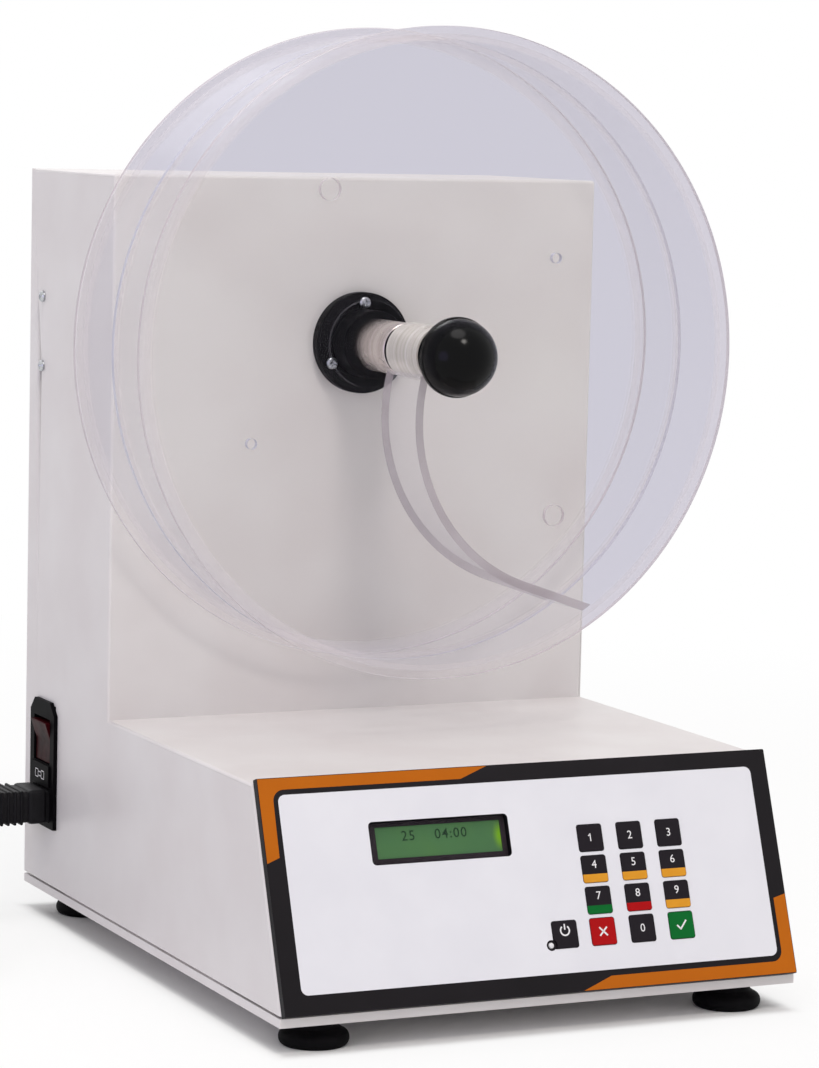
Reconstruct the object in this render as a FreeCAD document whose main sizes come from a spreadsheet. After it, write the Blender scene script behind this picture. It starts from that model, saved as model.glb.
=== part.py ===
"""Friability tester: a bench instrument that tumbles tablets in a clear plastic drum.

Frame: X to the right, Y to the back, Z up, origin on the bench under the middle of the footprint.
Three working frames share it. The housing frame starts on the tower's front face at the height of
the seam between cover and tray. The axis frame starts on the tower's front face on the drum's axis,
with Y along the shaft. The panel frame lies on the sloping front, X right, Y up the slope, Z out.
"""
import FreeCAD, Part
import math
import os
from types import SimpleNamespace

import Sketcher
from FreeCAD import Placement, Rotation, Vector

SIZES = {
    # sheet-metal cover, heights measured from the seam above the tray
    "housing_width": 253,
    "tower_depth": 114.5,
    "tower_height": 352.6,
    "base_height": 95.3,
    "base_reach": 213,
    "panel_tilt": 20.6,
    "sheet": 1.6,
    "bend_radius": 1.5,
    "seam_gap": 1.2,
    "rear_flange": 13.6,
    "lug_length": 34,
    "lug_width": 16,
    "lug_height": 10,
    "lug_roof": 1,
    "fit_gap": 0.3,
    # tray and feet
    "foot_height": 12.5,
    "foot_radius": 15.5,
    "foot_neck_radius": 7.75,
    "foot_neck": 1.25,
    "foot_well_gap": 1,
    "foot_spacing": 205,
    "front_foot_inset": 19,
    "rear_foot_inset": 26.5,
    "tray_rise": 4,
    "tray_rim": 3.6,
    "tray_tab_height": 12,
    "tray_tab_front": 150,
    "tray_tab_back": 60,
    # pan-head screws, M3
    "screw_radius": 1.5,
    "screw_hole_radius": 1.6,
    "screw_head_radius": 2.75,
    "screw_head_height": 2,
    "screw_length": 6,
    "screw_point": 2.4,
    "foot_screw_bite": 4.5,
    "screw_recess": 0.6,
    "screw_recess_floor": 0.8,
    "screw_slot": 0.7,
    "cover_screw_edge": 6,
    "cover_screw_low": 32,
    "vent_length": 32,
    "vent_width": 3,
    "vent_pitch": 9,
    "vent_column": 45,
    "vent_low": 190,
    # drum of clear plastic; depths run forward from the tower face
    "axis_rise": 273.6,
    "disc_radius": 150,
    "drum_bore_radius": 143.5,
    "ring_wall": 3,
    "disc_thickness": 3,
    "chamber_depth": 38,
    "drum_back": 11.3,
    "rear_disc_hole_radius": 21,
    "lid_hole_radius": 5,
    "lid_hole_ring": 95.5,
    "lid_hole_angle": 128,
    "index_hole_radius": 2.5,
    "index_hole_ring": 89,
    "index_hole_angle": 29,
    "arm_radius": 80.5,
    "arm_thickness": 4,
    "arm_center_across": 71.7,
    "arm_center_up": -30.1,
    "arm_start_angle": 165,
    "arm_end_angle": 251,
    "arm_tail": 46,
    "arm_lid_gap": 0.3,
    "hub_tube_radius": 13.5,
    "hub_tube_bore": 6.1,
    "hub_tube_front": 84,
    "lid_boss_gap": 0.2,
    # shaft, hub and clamp knob
    "shaft_radius": 6,
    "shaft_front": 97.5,
    "shaft_back": 66,
    "stud_radius": 5,
    "stud_front": 116,
    "shaft_chamfer": 0.8,
    "fixed_fit": 0.02,
    "running_fit": 0.05,
    "loose_fit": 0.1,
    "lid_bore_radius": 6.3,
    "drive_hub_radius": 12.5,
    "drive_hub_back": 20.5,
    "drive_hub_front": 55.8,
    "hub_ring_width": 2,
    "washer_radius": 14,
    "washer_thickness": 1,
    "knob_neck_radius": 10,
    "knob_rim_radius": 18.5,
    "knob_rim_back": 107.5,
    "knob_rim_width": 2.5,
    "knob_front": 128.3,
    "knob_dome_inset": 0.55,
    "knob_lip_back": 0.8,
    "knob_lip_front": 0.4,
    "knob_recess": 1,
    "knob_bore_end": 118,
    # bearing housing and ball bearings
    "flange_radius": 24.3,
    "flange_thickness": 6,
    "flange_screw_ring": 19.3,
    "nose_radius": 16.3,
    "nose_front": 20,
    "nose_bore_radius": 7.5,
    "nose_chamfer": 1,
    "flange_chamfer": 0.6,
    "spigot_radius": 15,
    "spigot_length": 14,
    "bearing_radius": 12,
    "bearing_width": 6,
    "bearing_gap": 0.2,
    "front_bearing_front": 14,
    "rear_bearing_front": 56.2,
    "bearing_lip": 1,
    # drive: spur gears, gear motor and its bracket, slotted disc and its sensor
    "gear_teeth": 48,
    "pinion_teeth": 24,
    "gear_module": 1.25,
    "gear_backlash": 0.12,
    "gear_front": 38,
    "gear_width": 8,
    "pinion_width": 9,
    "pinion_shaft_radius": 4,
    "pinion_shaft_back": 63,
    "pinion_collar": 2,
    "pinion_end_gap": 2,
    "bracket_front": 58,
    "bracket_sheet": 2.5,
    "bracket_top": 35,
    "bracket_bottom": -80,
    "bracket_arm_gap": 7.3,
    "bracket_boss_radius": 15.4,
    "bracket_boss_back": 64,
    "spindle_gap": 1,
    "side_screw_inset": 18.9,
    "side_screw_spacing": 34,
    "gearbox_radius": 28,
    "gearbox_length": 22,
    "gearbox_screw_ring": 22,
    "motor_radius": 26,
    "motor_gap": 4.8,
    "encoder_radius": 22,
    "encoder_front": 22,
    "encoder_thickness": 1,
    "encoder_hub_radius": 9,
    "encoder_hub_length": 5,
    "encoder_slots": 12,
    "encoder_slot_width": 2,
    "encoder_slot_depth": 5,
    "sensor_width": 12,
    "sensor_height": 12,
    "sensor_reach": 28,
    "sensor_overlap": 5,
    "sensor_gap": 1,
    "sensor_slot_floor": 2,
    # panel plate and overlay
    "panel_length": 103.1,
    "plate_drop": 1,
    "plate_side_gap": 0.7,
    "plate_thickness": 3.5,
    "plate_thread_floor": 0.5,
    "overlay_thickness": 0.5,
    "panel_window_left": -86,
    "panel_window_right": 90,
    "panel_window_low": 12,
    "panel_window_high": 92,
    "panel_screw_across": 112,
    "panel_screw_low": 9,
    "panel_screw_high": 94,
    "display_across": -42.6,
    "display_up": 71.6,
    "display_width": 67.5,
    "display_height": 19.1,
    "glass_width": 62,
    "glass_height": 15.2,
    "window_thickness": 1.5,
    "module_width": 71,
    "module_height": 24,
    "module_depth": 7,
    "module_gap": 0.2,
    "display_board_width": 80,
    "display_board_height": 36,
    "board_thickness": 1.6,
    "standoff_radius": 2,
    "standoff_inset": 3.5,
    # keypad
    "key_width": 12.1,
    "key_height": 11.9,
    "key_gap": 0.3,
    "key_proud": 0.4,
    "key_flange": 1,
    "key_flange_thickness": 0.8,
    "key_rest_gap": 0.1,
    "key_travel": 0.5,
    "key_first_across": 30.6,
    "key_pitch_across": 19.8,
    "key_first_up": 25.7,
    "key_pitch_up": 14,
    "power_key_across": 11.6,
    "switch_size": 6,
    "switch_body": 2.2,
    "switch_plunger": 0.8,
    "switch_plunger_radius": 1.7,
    "keypad_left": 0.4,
    "keypad_right": 84,
    "keypad_low": 14.5,
    "keypad_high": 78,
    "led_across": 4.3,
    "led_up": 21.3,
    "led_radius": 1.5,
    "led_collar": 0.6,
    "led_proud": 0.5,
    "led_collar_height": 1,
    "led_bezel_radius": 2.4,
    # mains inlet module in the left wall
    "inlet_reach": 85,
    "inlet_rise": 61.1,
    "inlet_width": 34,
    "inlet_height": 62.5,
    "inlet_flange": 2,
    "inlet_chamfer": 6,
    "inlet_body_width": 28,
    "inlet_body_height": 59,
    "inlet_body_depth": 30,
    "rocker_up": 11.6,
    "rocker_height": 20.8,
    "rocker_width": 22,
    "rocker_tilt": 9,
    "rocker_proud": 4.6,
    "rocker_dish": 1.7,
    "rocker_pivot_depth": 2,
    "rocker_pivot_radius": 1.5,
    "rocker_well": 14,
    "rocker_gap": 0.85,
    "rocker_root": 3,
    "rocker_root_inset": 1.4,
    "rocker_back": 4.5,
    "rocker_back_inset": 5,
    "rocker_axle_reach": 1.2,
    "drawer_up": -5.5,
    "drawer_width": 24,
    "drawer_height": 9.8,
    "drawer_depth": 24,
    "drawer_lip": 0.5,
    "drawer_lip_thickness": 1,
    "fuse_radius": 2.6,
    "fuse_length": 20,
    "fuse_cap_length": 5,
    "fuse_cap_step": 0.2,
    "fuse_depth": 11.5,
    "socket_up": -20,
    "socket_width": 24.4,
    "socket_height": 16.4,
    "socket_depth": 15,
    "pin_spacing": 7,
    "pin_width": 2,
    "pin_height": 4,
    "pin_reach": 4,
    "pin_tail": 6,
    # mains lead: connector, cord, coil and plug
    "connector_nose_width": 23.6,
    "connector_nose_height": 15.6,
    "connector_grip_width": 25,
    "connector_grip_height": 17,
    "connector_grip_length": 35,
    "connector_round": 3,
    "relief_length": 30,
    "relief_radius": 6.5,
    "relief_tip_radius": 4.2,
    "cord_radius": 3.5,
    "coil_across": -240,
    "coil_along": 60,
    "coil_inner_radius": 30,
    "coil_pitch": 7.4,
    "coil_turns": 3,
    "coil_lead": 7,
    "plug_tip_radius": 4,
    "plug_shoulder": 6,
    "plug_pin_root": 2,
    "plug_radius": 10.9,
    "plug_length": 36,
    "plug_relief_length": 33,
    "plug_pin_radius": 2.4,
    "plug_pin_length": 19,
    "plug_pin_ring": 6.2,
    # power board on the tray
    "power_board_width": 120,
    "power_board_depth": 90,
    "power_board_front": 150,
    "stud_height": 10,
    "stud_width_radius": 3,
    "stud_inset": 6,
    "transformer_width": 48,
    "transformer_depth": 40,
    "transformer_height": 38,
    "transformer_across": 28,
}

FLANGE_SCREW_ANGLES = (90, -150, -30)
GEARBOX_SCREW_ANGLES = (30, 150, -90)
VENT_ROWS = 12
# a foot's rounded side: how far in from its full radius, and at what share of its height
FOOT_SIDE = ((4.5, 0), (1.2, 0.16), (0, 0.4), (0.9, 0.64), (4, 0.82))
# a screw head's outline: shares of its radius and of its height
HEAD_SIDE = ((1, 0), (1, 0.5), (0.82, 0.85), (0.5, 1), (0, 1))
KNOB_DOME_ANGLES = (75, 60, 45, 30, 15)
GEAR_PRESSURE_ANGLE = math.radians(20)
# each figure key's column and row on the keypad, counted from its lower left
KEY_PLACES = {
    "key_1": (0, 3), "key_2": (1, 3), "key_3": (2, 3),
    "key_4": (0, 2), "key_5": (1, 2), "key_6": (2, 2),
    "key_7": (0, 1), "key_8": (1, 1), "key_9": (2, 1),
    "key_cancel": (0, 0), "key_0": (1, 0), "key_enter": (2, 0),
}
# the lead's free route from the connector down to the bench, in the machine's frame
CORD_ROUTE = [
    (-194.5, 135.1, 57.6),
    (-218.0, 135.1, 57.6),
    (-244.0, 132.2, 45.0),
    (-266.0, 124.0, 27.0),
    (-283.5, 110.3, 10.3),
    (-292.2, 88.5, 3.5),
    (-292.2, 67.0, 3.5),
]
CORD_ARC_SHARE = 0.45

doc = FreeCAD.newDocument("friability_tester")


class Size:
    """A number with the spreadsheet expression that gives it, so that sums keep their link."""

    def __init__(self, number, text=None):
        self.number = float(number)
        self.text = text or "(%r)" % self.number

    def combine(self, other, sign, number):
        return Size(number, "(%s %s %s)" % (self.text, sign, other.text))

    def __add__(self, other):
        other = as_size(other)
        return self.combine(other, "+", self.number + other.number)

    def __radd__(self, other):
        return as_size(other) + self

    def __sub__(self, other):
        other = as_size(other)
        return self.combine(other, "-", self.number - other.number)

    def __rsub__(self, other):
        return as_size(other) - self

    def __mul__(self, other):
        other = as_size(other)
        return self.combine(other, "*", self.number * other.number)

    def __rmul__(self, other):
        return as_size(other) * self

    def __truediv__(self, other):
        other = as_size(other)
        return self.combine(other, "/", self.number / other.number)

    def __neg__(self):
        return Size(-self.number, "(0 - %s)" % self.text)


def as_size(value):
    return value if isinstance(value, Size) else Size(value)


def sine(angle):
    angle = as_size(angle)
    return Size(math.sin(math.radians(angle.number)), "sin(%s)" % angle.text)


def cosine(angle):
    angle = as_size(angle)
    return Size(math.cos(math.radians(angle.number)), "cos(%s)" % angle.text)


def tangent(angle):
    angle = as_size(angle)
    return Size(math.tan(math.radians(angle.number)), "tan(%s)" % angle.text)


size_sheet = doc.addObject("Spreadsheet::Sheet", "Sizes")
layout_sheet = doc.addObject("Spreadsheet::Sheet", "Layout")
size = SimpleNamespace()
place = SimpleNamespace()
for row, (word, number) in enumerate(SIZES.items(), start=1):
    size_sheet.set("A%d" % row, word)
    size_sheet.set("B%d" % row, str(number))
    size_sheet.setAlias("B%d" % row, word)
    setattr(size, word, Size(number, "Sizes." + word))
doc.recompute()


def derive(word, value):
    """Write a worked-out place on the layout sheet under its own word."""
    line = len(vars(place)) + 1
    layout_sheet.set("A%d" % line, word)
    layout_sheet.set("B%d" % line, "=" + value.text)
    layout_sheet.setAlias("B%d" % line, word)
    setattr(place, word, Size(value.number, "Layout." + word))


# Places that follow from the driving sizes
derive("half_width", size.housing_width / 2)
derive("wall_inside", place.half_width - size.sheet)
derive("cover_plane", size.tower_depth - size.sheet)
derive("flange_plane", place.cover_plane - size.sheet)
derive("seam_height", size.foot_height + size.tray_rise)
derive("axis_height", place.seam_height + size.axis_rise)
derive("slope_run", tangent(size.panel_tilt))
derive("slope_low", size.base_reach - size.seam_gap * place.slope_run)
derive("panel_low", size.seam_gap - size.plate_drop * cosine(size.panel_tilt))
derive("panel_back", size.base_reach - place.panel_low * place.slope_run)
derive("plate_reach", (size.plate_thickness + size.overlay_thickness) * cosine(size.panel_tilt))
derive("front_edge", place.panel_back + place.plate_reach)
derive("back_edge", size.tower_depth + size.screw_head_height)
derive("face_place", (place.front_edge - place.back_edge) / 2)
derive("panel_height", place.seam_height + place.panel_low)
derive("plate_half_width", place.half_width - size.plate_side_gap)
derive("tray_floor", size.sheet - size.tray_rise)
derive("lug_thread", size.seam_gap + size.lug_height - size.lug_roof)
derive("plate_thread", size.plate_thickness - size.plate_thread_floor)
derive("rear_disc_front", size.drum_back + size.disc_thickness)
derive("mid_disc_back", place.rear_disc_front + size.chamber_depth)
derive("mid_disc_front", place.mid_disc_back + size.disc_thickness)
derive("lid_back", place.mid_disc_front + size.chamber_depth)
derive("lid_front", place.lid_back + size.disc_thickness)
derive("ring_radius", size.drum_bore_radius + size.ring_wall)
derive("hub_ring_front", size.drive_hub_front + size.hub_ring_width)
derive("washer_front", place.lid_front + size.washer_thickness)
derive("gear_radius", size.gear_teeth * size.gear_module / 2)
derive("pinion_radius", size.pinion_teeth * size.gear_module / 2)
derive("gear_distance", place.gear_radius + place.pinion_radius)
derive("bracket_back", size.bracket_front + size.bracket_sheet)
derive("gearbox_back", place.bracket_back + size.gearbox_length)
derive("module_front", -size.module_gap)
derive("module_back", place.module_front - size.module_depth)
derive("key_back", -(size.key_rest_gap + size.key_flange_thickness))
derive("switch_top", place.key_back - size.key_travel - size.key_rest_gap)
derive("keypad_front", place.switch_top - size.switch_body - size.switch_plunger)
derive("keypad_back", place.keypad_front - size.board_thickness)
derive("overlay_front", size.plate_thickness + size.overlay_thickness)
derive("inlet_front", -size.inlet_flange)
derive("grip_back", place.inlet_front - size.drawer_lip_thickness)
derive("grip_end", place.grip_back - size.connector_grip_length)
derive("relief_end", place.grip_end - size.relief_length)
derive("power_board_back", size.power_board_depth - size.power_board_front)
derive("stud_top", place.tray_floor + size.stud_height)
derive("foot_across", size.foot_spacing / 2)
derive("front_foot_reach", size.base_reach - size.front_foot_inset)
derive("rear_foot_reach", size.tower_depth - size.rear_foot_inset)
derive("bracket_arm_back", place.flange_plane - size.bracket_arm_gap)
derive("side_screw_reach", size.tower_depth - size.side_screw_inset)
derive("motor_back", place.flange_plane - size.motor_gap)
doc.recompute()

X_AXIS = Vector(1, 0, 0)
Y_AXIS = Vector(0, 1, 0)
Z_AXIS = Vector(0, 0, 1)
NODES = {}
# how far a cutting tool passes beyond what it cuts
PAST = 1


def bind(piece, **values):
    """Give a piece its sizes as expressions on the sheets."""
    for name, value in values.items():
        piece.setExpression(name, as_size(value).text)
    return piece


def locate(piece, x=0, y=0, z=0, axis=None, angle=0):
    """Place a piece, turned about an axis where one is given."""
    if axis is not None:
        piece.Placement = Placement(Vector(), Rotation(axis, 1))
        piece.setExpression("Placement.Rotation.Angle", as_size(angle).text)
    for letter, value in zip("xyz", (x, y, z)):
        piece.setExpression("Placement.Base." + letter, as_size(value).text)
    return piece


def block(name, x, y, z):
    """A box given by its span along each axis."""
    piece = doc.addObject("Part::Box", name)
    spans = [(as_size(low), as_size(high)) for low, high in (x, y, z)]
    for side, (low, high) in zip(("Length", "Width", "Height"), spans):
        piece.setExpression(side, (high - low).text)
    return locate(piece, *(low for low, high in spans))


def rod(name, along, radius, span, at=(0, 0), tip_radius=None):
    """A cylinder, or a cone where a tip radius is given, along X, Y or Z over a span."""
    low, high = as_size(span[0]), as_size(span[1])
    if tip_radius is None:
        piece = doc.addObject("Part::Cylinder", name)
        bind(piece, Radius=radius, Height=high - low)
    else:
        piece = doc.addObject("Part::Cone", name)
        bind(piece, Radius1=radius, Radius2=tip_radius, Height=high - low)
    if along == "X":
        return locate(piece, low, at[0], at[1], Y_AXIS, 90)
    if along == "Y":
        return locate(piece, at[0], low, at[1], X_AXIS, -90)
    return locate(piece, at[0], at[1], low)


def fuse(name, pieces):
    piece = doc.addObject("Part::MultiFuse", name)
    piece.Shapes = pieces
    piece.Refine = True
    return piece


def cut(name, base, tools):
    """Take one or more tools out of a base."""
    piece = doc.addObject("Part::Cut", name)
    piece.Base = base
    piece.Tool = tools[0] if len(tools) == 1 else fuse(name + "_tools", tools)
    return piece


def common(name, base, tool):
    piece = doc.addObject("Part::Common", name)
    piece.Base = base
    piece.Tool = tool
    return piece


def held(name, pieces):
    """Pieces that keep their own places inside a group with a place of its own."""
    group = doc.addObject("Part::Compound", name)
    group.Links = pieces
    return group


def origin_plane(body, role):
    return [part for part in body.Origin.OriginFeatures if part.Role == role][0]


def sketch(body, role, points):
    """A closed outline of straight sides on one of the body's own planes."""
    outline = body.newObject("Sketcher::SketchObject", body.Name + "_outline")
    outline.AttachmentSupport = [(origin_plane(body, role), "")]
    outline.MapMode = "FlatFace"
    corners = [(as_size(across), as_size(up)) for across, up in points]
    count = len(corners)
    for index, (across, up) in enumerate(corners):
        next_across, next_up = corners[(index + 1) % count]
        start = Vector(across.number, up.number, 0)
        end = Vector(next_across.number, next_up.number, 0)
        outline.addGeometry(Part.LineSegment(start, end))
    for index in range(count):
        outline.addConstraint(Sketcher.Constraint("Coincident", index, 2, (index + 1) % count, 1))
    for index, corner in enumerate(corners):
        for kind, value, other_axis in zip(("DistanceX", "DistanceY"), corner, (-2, -1)):
            if value.number == 0:
                outline.addConstraint(Sketcher.Constraint("PointOnObject", index, 1, other_axis))
                continue
            rule = Sketcher.Constraint(kind, -1, 1, index, 1, value.number)
            mark = outline.addConstraint(rule)
            outline.setExpression("Constraints[%d]" % mark, value.text)
    return outline


def padded(name, role, points, length):
    """An outline on one of the origin planes, given thickness evenly to both sides."""
    body = doc.addObject("PartDesign::Body", name)
    outline = sketch(body, role, points)
    pad = body.newObject("PartDesign::Pad", name + "_pad")
    pad.Profile = outline
    pad.SideType = "Symmetric"
    return body, bind(pad, Length=length)


def turned(name, role, points):
    """An outline of radius and place along the axis, turned once round that axis."""
    body = doc.addObject("PartDesign::Body", name)
    outline = sketch(body, role, points)
    turn = body.newObject("PartDesign::Revolution", name + "_turn")
    turn.Profile = outline
    turn.ReferenceAxis = (outline, ["V_Axis"])
    turn.Angle = 360
    return body


def copy_at(pattern, position, turn):
    """A linked copy of a pattern at a place and turn of its own."""
    copy = doc.addObject("App::Link", pattern.Name + "_copy")
    copy.LinkedObject = pattern
    copy.LinkTransform = False
    copy.Placement = Placement(Vector(), turn)
    for letter, value in zip("xyz", position):
        copy.setExpression("Placement.Base." + letter, as_size(value).text)
    return copy


def name_node(node, piece):
    piece.Label = node
    NODES[node] = piece
    return piece


def in_housing(node, piece):
    """Finish a piece that is drawn in the housing frame."""
    locate(piece, 0, place.face_place, place.seam_height)
    return name_node(node, piece)


def on_axis(node, piece):
    """Finish a piece that is drawn in the axis frame."""
    locate(piece, 0, place.face_place, place.axis_height)
    return name_node(node, piece)


def to_panel(piece, y=0, z=0):
    """Lay a piece that is drawn in the panel frame on the sloping front."""
    return locate(piece, 0, y, z, X_AXIS, 90 - size.panel_tilt)


def on_panel(node, piece):
    """Finish a piece that is drawn in the panel frame."""
    to_panel(piece, place.face_place - place.panel_back, place.panel_height)
    return name_node(node, piece)


def in_inlet(node, piece):
    """Finish a piece that is drawn from the middle of the inlet on the left wall."""
    reach = place.face_place + size.inlet_reach
    locate(piece, -place.half_width, reach, place.seam_height + size.inlet_rise)
    return name_node(node, piece)


def signs():
    return [(side, end) for side in (-1, 1) for end in (-1, 1)]


# Housing shell: one folded sheet, open below and behind, with lugs that stand on the tray
def side_outline(inset, floor, back):
    """The L-shaped side view of the cover, each wall moved in by the inset."""
    inset = as_size(inset)
    slope_shift = inset / cosine(size.panel_tilt)
    top = size.base_height - inset
    return [
        (back, floor),
        (back, size.tower_height - inset),
        (inset, size.tower_height - inset),
        (inset, top),
        (slope_shift - size.base_reach + top * place.slope_run, top),
        (slope_shift - size.base_reach + as_size(floor) * place.slope_run, floor),
    ]


def make_housing_shell():
    body, pad = padded(
        "cover_outside", "YZ_Plane",
        side_outline(0, size.seam_gap, place.cover_plane), size.housing_width)
    doc.recompute()
    rounded = []
    for index, edge in enumerate(pad.Shape.Edges, start=1):
        middle = edge.CenterOfMass
        runs_across = abs(edge.Vertexes[0].X - edge.Vertexes[-1].X) > 1
        on_side = abs(abs(middle.x) - place.half_width.number) < 0.01
        at_back = abs(middle.y - place.cover_plane.number) < 0.01
        at_foot = abs(middle.z - size.seam_gap.number) < 0.01
        in_corner = abs(middle.y) < 0.01 and abs(middle.z - size.base_height.number) < 0.01
        if at_back or at_foot or in_corner:
            continue
        if runs_across or on_side:
            rounded.append("Edge%d" % index)
    fillet = body.newObject("PartDesign::Fillet", "cover_bends")
    fillet.Base = (pad, rounded)
    bind(fillet, Radius=size.bend_radius)
    cavity, _ = padded(
        "cover_inside", "YZ_Plane",
        side_outline(size.sheet, -size.sheet, place.flange_plane),
        size.housing_width - 2 * size.sheet)
    walls = cut("cover_walls", body, [cavity])
    lugs = []
    holes = []
    for side, end in signs():
        reach = -place.front_foot_reach if end < 0 else place.rear_foot_reach
        inner = place.wall_inside - size.lug_length
        span = (inner, place.wall_inside) if side > 0 else (-place.wall_inside, -inner)
        along = (reach - size.lug_width / 2, reach + size.lug_width / 2)
        rise = (size.seam_gap, size.seam_gap + size.lug_height)
        lugs.append(block("cover_lug", span, along, rise))
        spot = (side * place.foot_across, reach)
        holes.append(rod("lug_hole", "Z", size.screw_hole_radius, (0, place.lug_thread), spot))
    with_lugs = fuse("cover_with_lugs", [walls] + lugs)
    holes += make_cover_openings()
    in_housing("housing_shell", cut("housing_shell", with_lugs, holes))


def cover_screw_places():
    """The six screws that hold the rear cover."""
    across = place.half_width - size.cover_screw_edge
    high = size.tower_height - size.cover_screw_low
    middle = (size.cover_screw_low + high) / 2
    return [(side * across, rise) for side in (-1, 1) for rise in (size.cover_screw_low, middle, high)]


def make_cover_openings():
    """Rear opening, panel window, shaft hole, inlet hole and the screw holes of the cover."""
    thick = (-size.sheet, 2 * size.sheet)
    inner = place.half_width - size.rear_flange
    window = block(
        "panel_opening", (size.panel_window_left, size.panel_window_right),
        (size.panel_window_low, size.panel_window_high), (-3 * size.sheet, size.sheet))
    openings = [
        block(
            "rear_opening", (-inner, inner),
            (place.flange_plane - size.sheet, place.cover_plane + size.sheet),
            (size.seam_gap + size.rear_flange, size.tower_height - size.rear_flange)),
        to_panel(held("panel_opening_laid", [window]), -place.panel_back, place.panel_low),
        rod(
            "spigot_hole", "Y", size.spigot_radius + size.fit_gap, thick, (0, size.axis_rise)),
        block(
            "inlet_opening", (-place.half_width - size.sheet, -place.wall_inside + size.sheet),
            (size.inlet_reach - size.inlet_body_width / 2 - size.fit_gap,
             size.inlet_reach + size.inlet_body_width / 2 + size.fit_gap),
            (size.inlet_rise - size.inlet_body_height / 2 - size.fit_gap,
             size.inlet_rise + size.inlet_body_height / 2 + size.fit_gap)),
    ]
    for angle in FLANGE_SCREW_ANGLES:
        spot = (size.flange_screw_ring * cosine(angle),
                size.axis_rise + size.flange_screw_ring * sine(angle))
        openings.append(rod("flange_screw_hole", "Y", size.screw_hole_radius, thick, spot))
    for across, rise in cover_screw_places():
        span = (place.flange_plane - size.sheet, place.cover_plane + size.sheet)
        openings.append(rod("rear_screw_hole", "Y", size.screw_hole_radius, span, (across, rise)))
    for side, end in signs():
        spot = (place.side_screw_reach, size.axis_rise + end * size.side_screw_spacing / 2)
        wall = side * place.half_width
        span = (wall - 2 * size.sheet, wall + 2 * size.sheet)
        openings.append(rod("side_screw_hole", "X", size.screw_hole_radius, span, spot))
        rise = size.panel_screw_low if end < 0 else size.panel_screw_high
        hole = rod(
            "panel_screw_hole", "Z", size.screw_hole_radius, (-3 * size.sheet, size.sheet),
            (side * size.panel_screw_across, rise))
        openings.append(to_panel(
            held("panel_screw_hole_laid", [hole]), -place.panel_back, place.panel_low))
    return openings


# Rear cover: a flat sheet with two columns of air slots
def make_rear_cover():
    sheet = block(
        "rear_sheet", (-place.half_width, place.half_width),
        (place.cover_plane, size.tower_depth), (size.seam_gap, size.tower_height))
    through = (place.cover_plane - size.sheet, size.tower_depth + size.sheet)
    holes = [
        rod("cover_hole", "Y", size.screw_hole_radius, through, spot)
        for spot in cover_screw_places()]
    for side in (-1, 1):
        for line in range(VENT_ROWS):
            center = side * size.vent_column
            low = size.vent_low + line * size.vent_pitch
            holes.append(block(
                "vent", (center - size.vent_length / 2, center + size.vent_length / 2),
                through, (low, low + size.vent_width)))
    in_housing("rear_cover", cut("rear_cover", sheet, holes))


# Tray: shallow pan below the cover, with tabs inside the walls, seats for the lugs and board studs
def foot_places():
    return [
        (side * place.foot_across, -place.front_foot_reach if end < 0 else place.rear_foot_reach)
        for side, end in signs()]


def board_stud_places():
    across = size.power_board_width / 2 - size.stud_inset
    front = size.stud_inset - size.power_board_front
    back = place.power_board_back - size.stud_inset
    return [(side * across, front if end < 0 else back) for side, end in signs()]


def make_base_tray():
    outer = block(
        "tray_outside", (-place.half_width, place.half_width),
        (-place.slope_low, size.tower_depth), (-size.tray_rise, 0))
    inner_half = place.half_width - size.tray_rim
    hollow = block(
        "tray_hollow", (-inner_half, inner_half),
        (size.tray_rim - place.slope_low, size.tower_depth - size.tray_rim),
        (place.tray_floor, size.tray_rise))
    pieces = [cut("tray_pan", outer, [hollow])]
    tab_outside = place.wall_inside - size.fit_gap
    tab_inside = place.half_width - size.tray_rim
    along = (-size.tray_tab_front, size.tray_tab_back)
    rise = (-size.tray_rise / 2, size.tray_tab_height)
    pieces.append(block("tray_tab_right", (tab_inside, tab_outside), along, rise))
    pieces.append(block("tray_tab_left", (-tab_outside, -tab_inside), along, rise))
    holes = []
    for spot in foot_places():
        pieces.append(rod(
            "lug_seat", "Z", size.lug_width / 2, (place.tray_floor, size.seam_gap), spot))
        holes.append(rod(
            "foot_hole", "Z", size.screw_hole_radius, (-2 * size.tray_rise, 2 * size.tray_rise), spot))
    for spot in board_stud_places():
        pieces.append(rod(
            "board_stud", "Z", size.stud_width_radius, (place.tray_floor, place.stud_top), spot))
        holes.append(rod(
            "stud_hole", "Z", size.screw_hole_radius, (0, place.stud_top + PAST), spot))
    in_housing("base_tray", cut("base_tray", fuse("tray_parts", pieces), holes))


# Rubber feet: turned, with a deep counterbore for the screw head
def make_feet():
    tall = size.foot_height
    well = size.screw_head_radius + size.foot_well_gap
    side = [(size.foot_radius - inset, tall * share) for inset, share in FOOT_SIDE]
    pattern = turned("foot", "XZ_Plane", [(well, 0)] + side + [
        (size.foot_neck_radius, tall - size.foot_neck), (size.foot_neck_radius, tall),
        (size.screw_hole_radius, tall), (size.screw_hole_radius, tall / 2), (well, tall / 2)])
    name_node("rubber_feet", held("rubber_feet", [
        copy_at(pattern, (across, place.face_place + along, 0), Rotation())
        for across, along in foot_places()]))


# Screws: one pan-head pattern with a crossed recess, head up, its seat at the origin
def make_screw_pattern(name, length):
    radius = size.screw_head_radius
    tall = size.screw_head_height
    head = [(radius * across, tall * up) for across, up in HEAD_SIDE]
    blank = turned(name + "_blank", "XZ_Plane", [
        (0, -length), (size.screw_radius, -length), (size.screw_radius, 0)] + head)
    arm = radius * size.screw_recess
    half = size.screw_slot / 2
    deep = (size.screw_recess_floor, tall + PAST)
    slots = [
        block("recess_across", (-arm, arm), (-half, half), deep),
        block("recess_along", (-half, half), (-arm, arm), deep)]
    return cut(name, blank, slots)


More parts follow.
